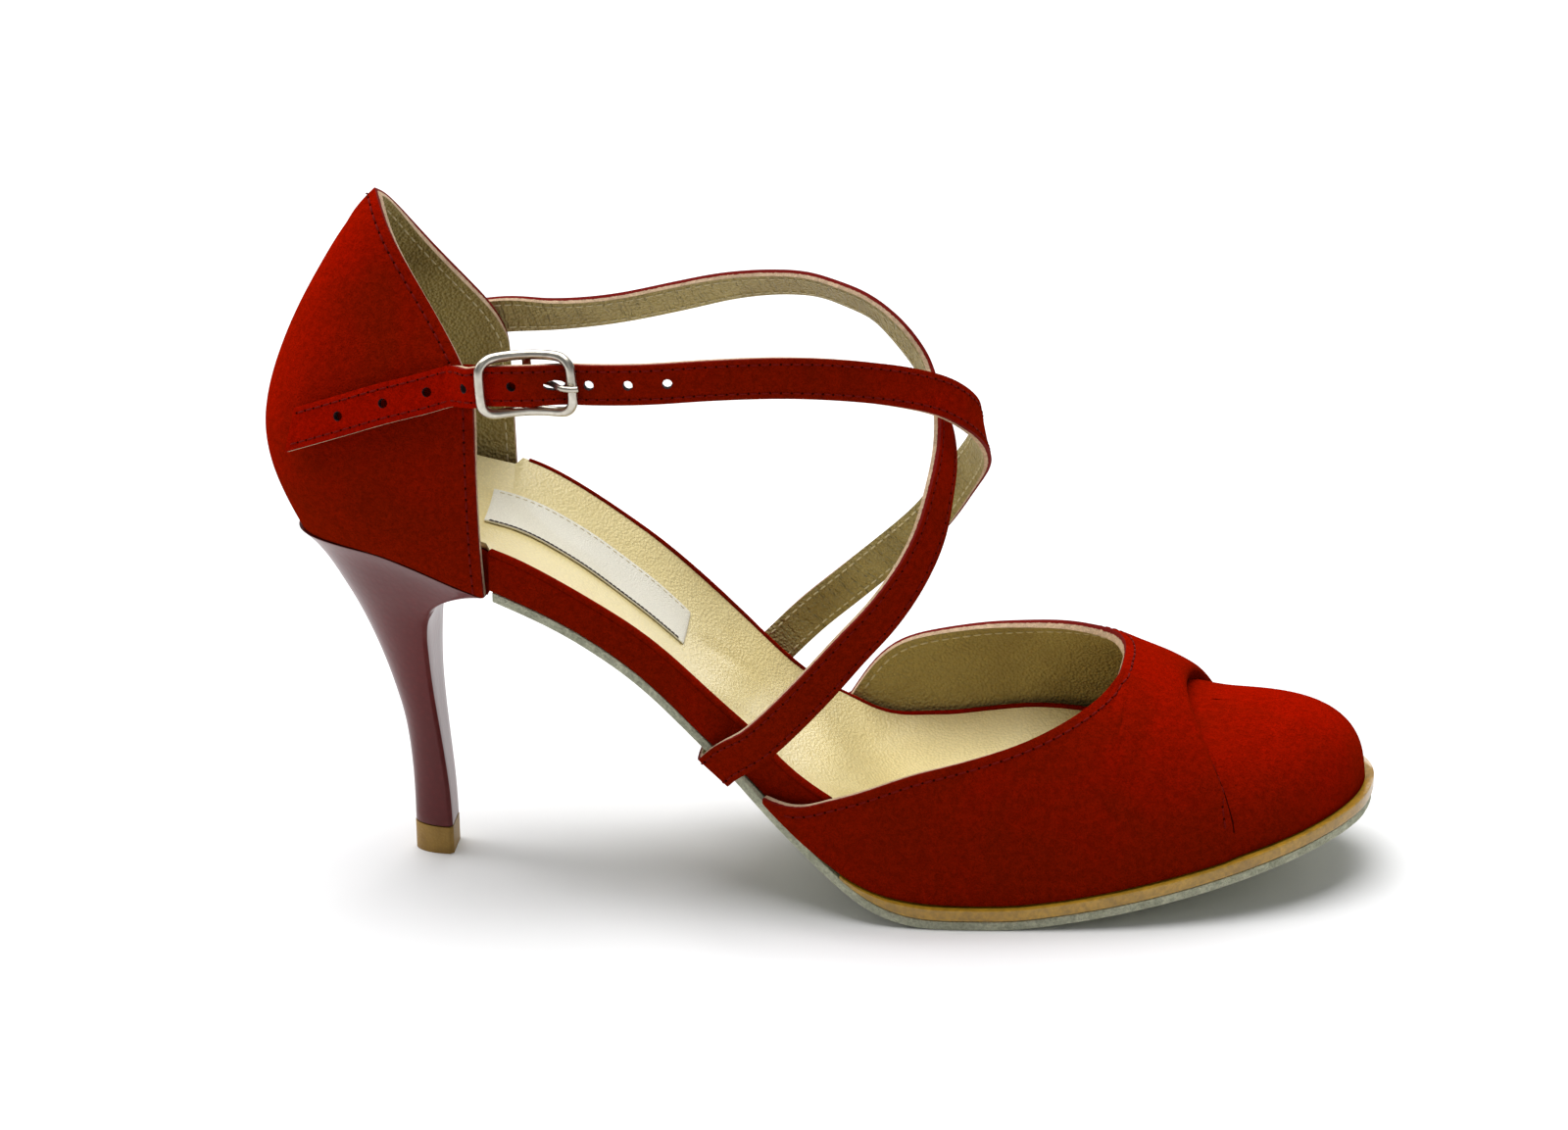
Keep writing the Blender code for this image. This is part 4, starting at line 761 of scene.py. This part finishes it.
def pinhole_shades(name, lines, material, slot, pitch=WALL_PITCH, radius=0.26 * MM):
    """Painted shade of the needle holes between the threads: each a short dark closed plug sunk in the
    surface.
    """
    points = []
    faces = []
    for line in lines:
        for spot, along, normal in evenly(line, pitch):
            side = normal.cross(along).normalized()
            first = len(points)
            for height in (HOLE_LIFT, -HOLE_DEEP):
                middle = spot + along * pitch / 2 + normal * height
                for corner in range(HOLE_SIDES):
                    angle = 2 * math.pi * corner / HOLE_SIDES
                    points.append(middle + (along * math.cos(angle) + side * math.sin(angle)) * radius)
            below = first + HOLE_SIDES
            for corner in range(HOLE_SIDES):
                onward = (corner + 1) % HOLE_SIDES
                faces.append((first + onward, first + corner, below + corner, below + onward))
            faces.append(tuple(range(first, below)))
            faces.append(tuple(reversed(range(below, below + HOLE_SIDES))))
    mesh_piece(name, points, faces, material, slot)


RIM_SIDES = 10


def rim_tube(name, path, normals, wide, tall, material, slot):
    """A rounded rim along a path, wide across the surface and tall along its normals."""
    points = []
    faces = []
    for i, (place, normal) in enumerate(zip(path, normals)):
        along = (path[min(i + 1, len(path) - 1)] - path[max(i - 1, 0)]).normalized()
        side = normal.cross(along).normalized()
        for corner in range(RIM_SIDES):
            angle = 2 * math.pi * corner / RIM_SIDES
            points.append(place + side * math.cos(angle) * wide + normal * math.sin(angle) * tall)
    for ring in range(len(path) - 1):
        for corner in range(RIM_SIDES):
            a = ring * RIM_SIDES + corner
            b = ring * RIM_SIDES + (corner + 1) % RIM_SIDES
            faces.append((a, b, b + RIM_SIDES, a + RIM_SIDES))
    faces.append(tuple(range(RIM_SIDES)))
    last = len(points) - RIM_SIDES
    faces.append(tuple(reversed(range(last, last + RIM_SIDES))))
    mesh_piece(name, points, faces, material, slot)


def mesh_piece(name, points, faces, material, slot):
    """A dressed piece made from points and faces, with its normals turned out."""
    mesh = bpy.data.meshes.new(name)
    mesh.from_pydata([tuple(point) for point in points], [], faces)
    piece = bpy.data.objects.new(name, mesh)
    bpy.context.collection.objects.link(piece)
    only(piece)
    bpy.ops.object.mode_set(mode="EDIT")
    bpy.ops.mesh.select_all(action="SELECT")
    bpy.ops.mesh.normals_make_consistent(inside=False)
    bpy.ops.object.mode_set(mode="OBJECT")
    bpy.ops.object.shade_smooth()
    store_brush_and_light(piece)
    dress(piece, [material], slot)


print("faces on each thread:", (len(THREAD_PROFILE) - 1) * THREAD_SIDES + 2)

# %% [markdown]
# ## The vamp
# The vamp is the front of the upper: suede outside, thin beige leather inside, and a pale cut
# edge round the throat. It ends in a rolled front edge that lies over the toe. It could be
# modelled anew from a cylinder, but the imported wall already has the true sections of
# the last, so its skin is smoothed and its few soft creases are pressed in.

# %% Vamp
FOLD_STEP = math.radians(9)
FOLD_PARTS = 6
FOLD_LEAN = 0.38
FOLD_FOOT = 0.012
FOLD_TOP = 0.030


def fold_line(piece, low_x, high_x):
    """The points at the foot of the toe's fold on the outer side, from the sole upwards."""
    shape = bmesh.new()
    shape.from_mesh(piece.data)
    found = set()
    for edge in shape.edges:
        if edge.calc_face_angle(0.0) >= STEP_ANGLE and not edge.is_convex:
            for vertex in edge.verts:
                kinds = {face.material_index for face in vertex.link_faces}
                before_toe = vertex.co.x < high_x - FOLD_LEAN * (vertex.co.z - FOLD_FOOT)
                on_outer_side = vertex.co.y < 0 and vertex.co.z < FOLD_TOP
                if kinds == {OUTER} and low_x < vertex.co.x and before_toe and on_outer_side:
                    found.add(tuple(vertex.co))
    shape.free()
    nearest = {}
    for spot in found:
        turn = round(math.atan2(spot[2], -spot[1]) / FOLD_STEP)
        if turn not in nearest or spot[0] < nearest[turn][0]:
            nearest[turn] = spot
    spots = [Vector(nearest[turn]) for turn in sorted(nearest)]
    line = []
    for start, end in zip(spots, spots[1:]):
        line += [start.lerp(end, step / FOLD_PARTS) for step in range(FOLD_PARTS)]
    return line + [spots[-1]]


COLLAR_END = 0.153
FOLD_REGION = (0.150, 0.168)
VAMP_CREASES = (
    (((0.137, -0.029, 0.030), (0.141, -0.031, 0.022), (0.143, -0.033, 0.015)), 0.45, 2.0),
    (((0.150, -0.012, 0.042), (0.147, -0.024, 0.034), (0.145, -0.029, 0.027)), 0.55, 2.8),
    (((0.104, 0.030, 0.036), (0.108, 0.034, 0.026), (0.110, 0.035, 0.016)), 0.35, 2.0),
    (((0.171, -0.010, 0.036), (0.175, 0.002, 0.036), (0.173, 0.013, 0.036)), 0.40, 3.4),
)
vamp = skin_of("vamp", "vamp_skin")
crease_corners(vamp, 55, inside=(0.13, 0.0, 0.012), foot_below=0.020)
roll_foot = fold_line(vamp, *FOLD_REGION)
print("fold points", len(roll_foot), "from", roll_foot[0].to_tuple(3), "to", roll_foot[-1].to_tuple(3))
smooth_out(vamp, 2)
press_creases(vamp, VAMP_CREASES)
collar_outside = inset_lines(vamp, OUTER, EDGE, 1.9 * MM, keep=lambda spot: spot.x < COLLAR_END)
collar_inside = inset_lines(vamp, LINING, EDGE, 1.6 * MM, keep=lambda spot: spot.x < COLLAR_END)
round_edges(vamp, 0.22 * MM)
store_across(vamp)
# Painted highlights on the brushed nap of the toe top and the top of the roll.
store_brush_and_light(vamp, (
    ((0.178, -0.002, 0.036), 0.016, 0.35),
    ((0.160, -0.004, 0.046), 0.008, 0.45),
    ((0.188, -0.016, 0.020), 0.010, 0.40),
))
dress(vamp, [suede, lining, wall_edge, lining], "red_suede", "vamp")
stitch_row("vamp_collar_stitches", collar_outside, red_thread, "red_suede")
pinhole_shades("vamp_collar_pinholes", collar_outside, painted_shade_red, "red_suede")
stitch_row("vamp_lining_stitches", collar_inside, pale_thread, "sock_leather")

# %% [markdown]
# The rolled front edge is held by one more row. It shows on the outer side, where it follows
# the foot of the roll. The fold's points are gathered from the mesh and moved back onto the
# surface, and a thin dark line under the roll is painted shadow where the two leathers meet.

# %% Stitches of the rolled edge
ROLL_STITCH_BACK = 2.3 * MM
ROLL_STITCH_UP = 0.6 * MM
FRONT_SHADOW_RADIUS = 0.16 * MM
outer_faces = [tuple(face.vertices) for face in vamp.data.polygons if face.material_index == OUTER]
vamp_surface = BVHTree.FromPolygons([vertex.co for vertex in vamp.data.vertices], outer_faces)
rolled = []
shadow_line = []
for foot in roll_foot:
    spot, facing, _, _ = vamp_surface.find_nearest(foot + Vector((-ROLL_STITCH_BACK, 0.0, ROLL_STITCH_UP)))
    rolled.append((spot, facing))
    shadow_line.append(vamp_surface.find_nearest(foot)[0])
roll_normals = [facing for _, facing in rolled]
# A thin dark tube along the foot of the roll: painted shadow under its front edge.
rim_tube("vamp_front_shadow", shadow_line, roll_normals, FRONT_SHADOW_RADIUS, FRONT_SHADOW_RADIUS, painted_shade_red, "red_suede")
stitch_row("vamp_front_stitches", [rolled], red_thread, "red_suede")
pinhole_shades("vamp_front_pinholes", [rolled], painted_shade_red, "red_suede")

# %% [markdown]
# ## The counter
# The counter wraps the heel and rises to a point behind it. It is stiff, so it has no deep
# creases, only the slight waves of its free front corners. Its topline and its front
# edges are cut raw and stitched close by.

# %% Counter
TUCK_FOOT = 0.064
TUCK_TALL = 0.032
TUCK_FRONT = -0.008
TUCK_LONG = 0.016
TUCK = 1.0 * MM
COUNTER_CREASES = (
    (((0.004, -0.024, 0.122), (0.010, -0.025, 0.112), (0.013, -0.025, 0.100)), 0.25, 3.0),
    (((-0.020, -0.016, 0.118), (-0.014, -0.021, 0.108), (-0.010, -0.024, 0.100)), 0.25, 4.0),
)
counter = skin_of("counter", "counter_skin")
crease_corners(counter, 50, inside=(0.0, 0.0, 0.10), foot_below=0.082)
smooth_out(counter, 3)
for vertex in counter.data.vertices:
    height = min(max((vertex.co.z - TUCK_FOOT) / TUCK_TALL, 0.0), 1.0)
    behind = min(max((TUCK_FRONT - vertex.co.x) / TUCK_LONG, 0.0), 1.0)
    vertex.co.x += TUCK * math.sin(math.pi * height) ** 2 * behind
press_creases(counter, COUNTER_CREASES)
counter_outside = inset_lines(counter, OUTER, EDGE, 2.0 * MM)
counter_inside = inset_lines(counter, LINING, EDGE, 1.8 * MM)
round_edges(counter, 0.25 * MM)
store_across(counter)
# Painted highlights on the brushed nap along the counter's back outline and near its point.
store_brush_and_light(counter, (
    ((-0.028, -0.006, 0.110), 0.016, 0.50),
    ((-0.018, -0.004, 0.136), 0.012, 0.45),
    ((-0.031, -0.004, 0.092), 0.012, 0.40),
))
dress(counter, [suede, lining, wall_edge, lining], "red_suede", "counter")
stitch_row("counter_stitches", counter_outside, red_thread, "red_suede")
pinhole_shades("counter_pinholes", counter_outside, painted_shade_red, "red_suede")
stitch_row("counter_lining_stitches", counter_inside, pale_thread, "sock_leather")

# %% [markdown]
# ## The strap
# The strap is suede glued to lining leather and stitched along both edges. Where it bends, the
# lining crinkles across. Those cross creases follow the strap and not the room, so the
# length along the strap is stored on the mesh, measured by walking its edges from
# the sewn end, and the lining's bump reads it.

# %% Strap
UNREACHED = 1e9


def store_length(piece, start_point, reach):
    """Store on each vertex its distance along the mesh from the end near start_point."""
    mesh = piece.data
    links = [[] for _ in mesh.vertices]
    for edge in mesh.edges:
        a, b = edge.vertices
        length = (mesh.vertices[a].co - mesh.vertices[b].co).length
        links[a].append((b, length))
        links[b].append((a, length))
    far = [UNREACHED] * len(links)
    queue = [(0.0, v.index) for v in mesh.vertices if (v.co - Vector(start_point)).length < reach]
    for _, vertex in queue:
        far[vertex] = 0.0
    heapq.heapify(queue)
    while queue:
        gone, vertex = heapq.heappop(queue)
        if gone > far[vertex]:
            continue
        for other, length in links[vertex]:
            if gone + length < far[other]:
                far[other] = gone + length
                heapq.heappush(queue, (far[other], other))
    store(piece, "along", far)
    return max(far)


def strap_lining_material():
    """The lining with fine creases across the strap."""
    made = lining.copy()
    made.name = "strap_lining"
    tree = made.node_tree
    along = add_node(tree, "ShaderNodeAttribute", attribute_name="along")
    place = tree.nodes.new("ShaderNodeTexCoord")
    wobble = add_node(tree, "ShaderNodeTexNoise", Scale=160.0, Detail=2.0)
    tree.links.new(place.outputs["Object"], wobble.inputs["Vector"])
    shifted = sums(tree, along.outputs["Fac"], wobble.outputs["Fac"], 0.0032)
    creases = add_node(tree, "ShaderNodeTexNoise", noise_dimensions="1D", Scale=900.0, Detail=1.0)
    tree.links.new(shifted, creases.inputs["W"])
    folds = remap(tree, creases.outputs["Fac"], 0.30, 0.55)
    bump = add_node(tree, "ShaderNodeBump", Distance=0.0004, Strength=0.7)
    tree.links.new(folds, bump.inputs["Height"])
    shader = tree.nodes["Principled BSDF"]
    fine = shader.inputs["Normal"].links[0].from_node
    tree.links.new(fine.outputs["Normal"], bump.inputs["Normal"])
    tree.links.new(bump.outputs["Normal"], shader.inputs["Normal"])
    return made


SEWN_END = (0.0075, 0.0245, 0.1075)
SEWN_REACH = 6.5 * MM
STRAP_INSET = 1.15 * MM
STRAP_PITCH = 2.1 * MM
STRAP_THREAD = 1.5 * MM
strap = skin_of("strap", "strap_skin")
crease_corners(strap, 60, inside=(0.062, 0.0, 0.075))
strap_length = store_length(strap, SEWN_END, SEWN_REACH)
smooth_out(strap, 2)
strap_outside = inset_lines(strap, OUTER, EDGE, STRAP_INSET)
strap_inside = inset_lines(strap, LINING, EDGE, STRAP_INSET)
round_edges(strap, 0.16 * MM)
store_across(strap)
# Painted highlights on the brushed nap of the strap's tail and over the instep.
store_brush_and_light(strap, (
    ((-0.020, -0.026, 0.098), 0.014, 0.85),
    ((0.000, -0.028, 0.103), 0.014, 0.75),
    ((0.014, -0.029, 0.106), 0.010, 0.60),
    ((0.109, -0.012, 0.095), 0.010, 0.20),
))
# The walls of the punched holes get the near-black painted shade.
dress(strap, [suede, strap_lining_material(), strap_edge, painted_shade_black], "red_suede", "strap")
stitch_row("strap_stitches", strap_outside, red_thread, "red_suede", STRAP_PITCH, STRAP_THREAD, 0.34 * MM)
pinhole_shades("strap_pinholes", strap_outside, painted_shade_red, "red_suede", STRAP_PITCH, 0.24 * MM)
stitch_row("strap_lining_stitches", strap_inside, pale_thread, "sock_leather", STRAP_PITCH, STRAP_THREAD,
           0.36 * MM)
print("strap length", round(strap_length / MM), "mm")

# %% [markdown]
# ## The insole board
# The board is a moulded shank wrapped in the same suede, which shows as a tall band along the
# waist. The wrap stands up as a soft rim round the sock. It could be a bevel of the board, but
# a rounded strip along its top edge keeps the board's own form and can stop at the vamp.

# %% Insole board
RIM_WIDE = 0.62 * MM
RIM_TALL = 0.95 * MM
RIM_LIFT = 0.72 * MM
OPEN_FROM = 16.7 * MM
OPEN_TO = 150.0 * MM
FACES_UP = 0.55
RIM_INSET = 0.55 * MM
board = skin_of("insole_board", "insole_board_skin")
crease_corners(board, 42)
for face in board.data.polygons:
    face.material_index = OUTER if face.normal.z > FACES_UP else EDGE
smooth_out(board, 2)
rims = inset_lines(board, OUTER, EDGE, RIM_INSET, keep=lambda spot: OPEN_FROM < spot.x < OPEN_TO)
round_edges(board, 0.35 * MM, 40)
store_brush_and_light(board)
dress(board, [suede, suede, suede], "red_suede", "insole_board")
for number, rim in enumerate(rims):
    path = [spot + normal * RIM_LIFT for spot, normal in rim]
    normals = [normal for _, normal in rim]
    rim_tube(f"board_rim_{number + 1}", path, normals, RIM_WIDE, RIM_TALL, suede, "red_suede")

# %% [markdown]
# ## The sock
# The sock is one sheet of soft cream leather on the board. It was pressed into the cup of the
# board by hand, so it has a few shallow dents, which are placed where the photo shows them.

# %% Sock
SOCK_DENTS = (
    (((0.060, -0.014, 0.041), (0.068, -0.009, 0.035), (0.078, -0.007, 0.028)), 0.6, 3.6),
    (((0.055, 0.006, 0.045), (0.063, 0.010, 0.040), (0.070, 0.012, 0.034)), 0.5, 3.2),
    (((0.080, -0.018, 0.027), (0.088, -0.004, 0.021), (0.090, 0.012, 0.021)), 0.45, 4.0),
    (((0.105, -0.016, 0.013), (0.108, 0.002, 0.012), (0.106, 0.018, 0.015)), 0.35, 3.6),
)
sock = skin_of("insole", "sock_skin")
crease_corners(sock, 50)
smooth_out(sock, 3)
press_creases(sock, SOCK_DENTS)
round_edges(sock, 0.25 * MM)
dress(sock, [sock_leather], "sock_leather", "insole")

# %% [markdown]
# ## The label
# A plain woven patch lies on the sock and its ends go under the leather. It is left
# bare. A thin dark strip along its near edge is painted shadow under that edge, and a row of pale stitches
# runs along the far one.

# %% Label
label = skin_of("sock_label", "sock_label_skin")
crease_corners(label, 50)
smooth_out(label, 2)
round_edges(label, 0.10 * MM)
dress(label, [label_cloth], "label_cloth", "sock_label")


LABEL_STEPS = 40
LABEL_END = 1.0 * MM
ABOVE_SHOE = 0.2


def label_edge_line(side, inset):
    """Points along one long edge of the label, on its top."""
    low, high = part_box("sock_label")
    faces = [tuple(face.vertices) for face in label.data.polygons]
    surface = BVHTree.FromPolygons([vertex.co for vertex in label.data.vertices], faces)
    y = low[1] + inset if side < 0 else high[1] - inset
    line = []
    for step in range(LABEL_STEPS + 1):
        x = low[0] + LABEL_END + (high[0] - low[0] - 2 * LABEL_END) * step / LABEL_STEPS
        spot, facing, _, _ = surface.ray_cast(Vector((x, y, ABOVE_SHOE)), Vector((0, 0, -1)))
        line.append((spot, facing))
    return line


near_edge = label_edge_line(-1, 0.30 * MM)
far_edge = label_edge_line(1, 0.90 * MM)
# A thin dark strip of painted shadow under the label's near edge.
stitch_row("label_edge_shadow", [near_edge], painted_shade_black, "label_cloth", 1.0 * MM, 1.15 * MM, 0.5 * MM)
stitch_row("label_far_stitches", [far_edge], pale_thread, "label_cloth", 1.6 * MM, 1.1 * MM, 0.25 * MM)

# %% [markdown]
# ## The sole's layers
# The amber layer is stained and lacquered leather, and stands proud of the upper as a ledge.
# The outsole under it is chrome suede with a rough, fibrous edge.

# %% Midsole and outsole
midsole = skin_of("midsole", "midsole_skin")
crease_corners(midsole, 42)
smooth_out(midsole, 2)
round_edges(midsole, 0.45 * MM, 40)
dress(midsole, [amber], "amber_edge", "midsole")

outsole = skin_of("outsole", "outsole_skin")
crease_corners(outsole, 42)
smooth_out(outsole, 2)
round_edges(outsole, 0.30 * MM, 40)
dress(outsole, [sole_suede], "suede_sole", "outsole")

# %% [markdown]
# ## The heel
# The heel is a slim plastic form, sprayed and polished, with a rubber lift nailed under it.

# %% Heel and top lift
heel = skin_of("heel", "heel_skin")
crease_corners(heel, 42)
smooth_out(heel, 2)
round_edges(heel, 0.25 * MM, 40)
dress(heel, [lacquer], "heel_lacquer", "heel")

lift = skin_of("top_lift", "top_lift_skin")
crease_corners(lift, 42)
smooth_out(lift, 2)
round_edges(lift, 0.30 * MM, 40)
dress(lift, [rubber], "lift_rubber", "top_lift")

# %% [markdown]
# ## The buckle
# The buckle is cast nickel with round bars. The loop that holds it is a folded strip of suede.

# %% Buckle and its loop
BUCKLE_SWELL = 0.18 * MM
for node in ("buckle_frame", "buckle_prong"):
    metal = skin_of(node, node + "_skin")
    crease_corners(metal, 70)
    smooth_out(metal, 2)
    if node == "buckle_frame":
        apply_modifier(metal, "DISPLACE", strength=BUCKLE_SWELL, mid_level=0.0)
    only(metal)
    bpy.ops.object.shade_smooth()
    dress(metal, [nickel], "nickel", node)

loop = skin_of("buckle_loop", "buckle_loop_skin")
crease_corners(loop, 60)
smooth_out(loop, 2)
round_edges(loop, 0.12 * MM)
store_brush_and_light(loop)
dress(loop, [suede], "red_suede", "buckle_loop")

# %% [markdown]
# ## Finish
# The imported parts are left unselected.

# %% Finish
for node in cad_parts.values():
    node.select_set(False)
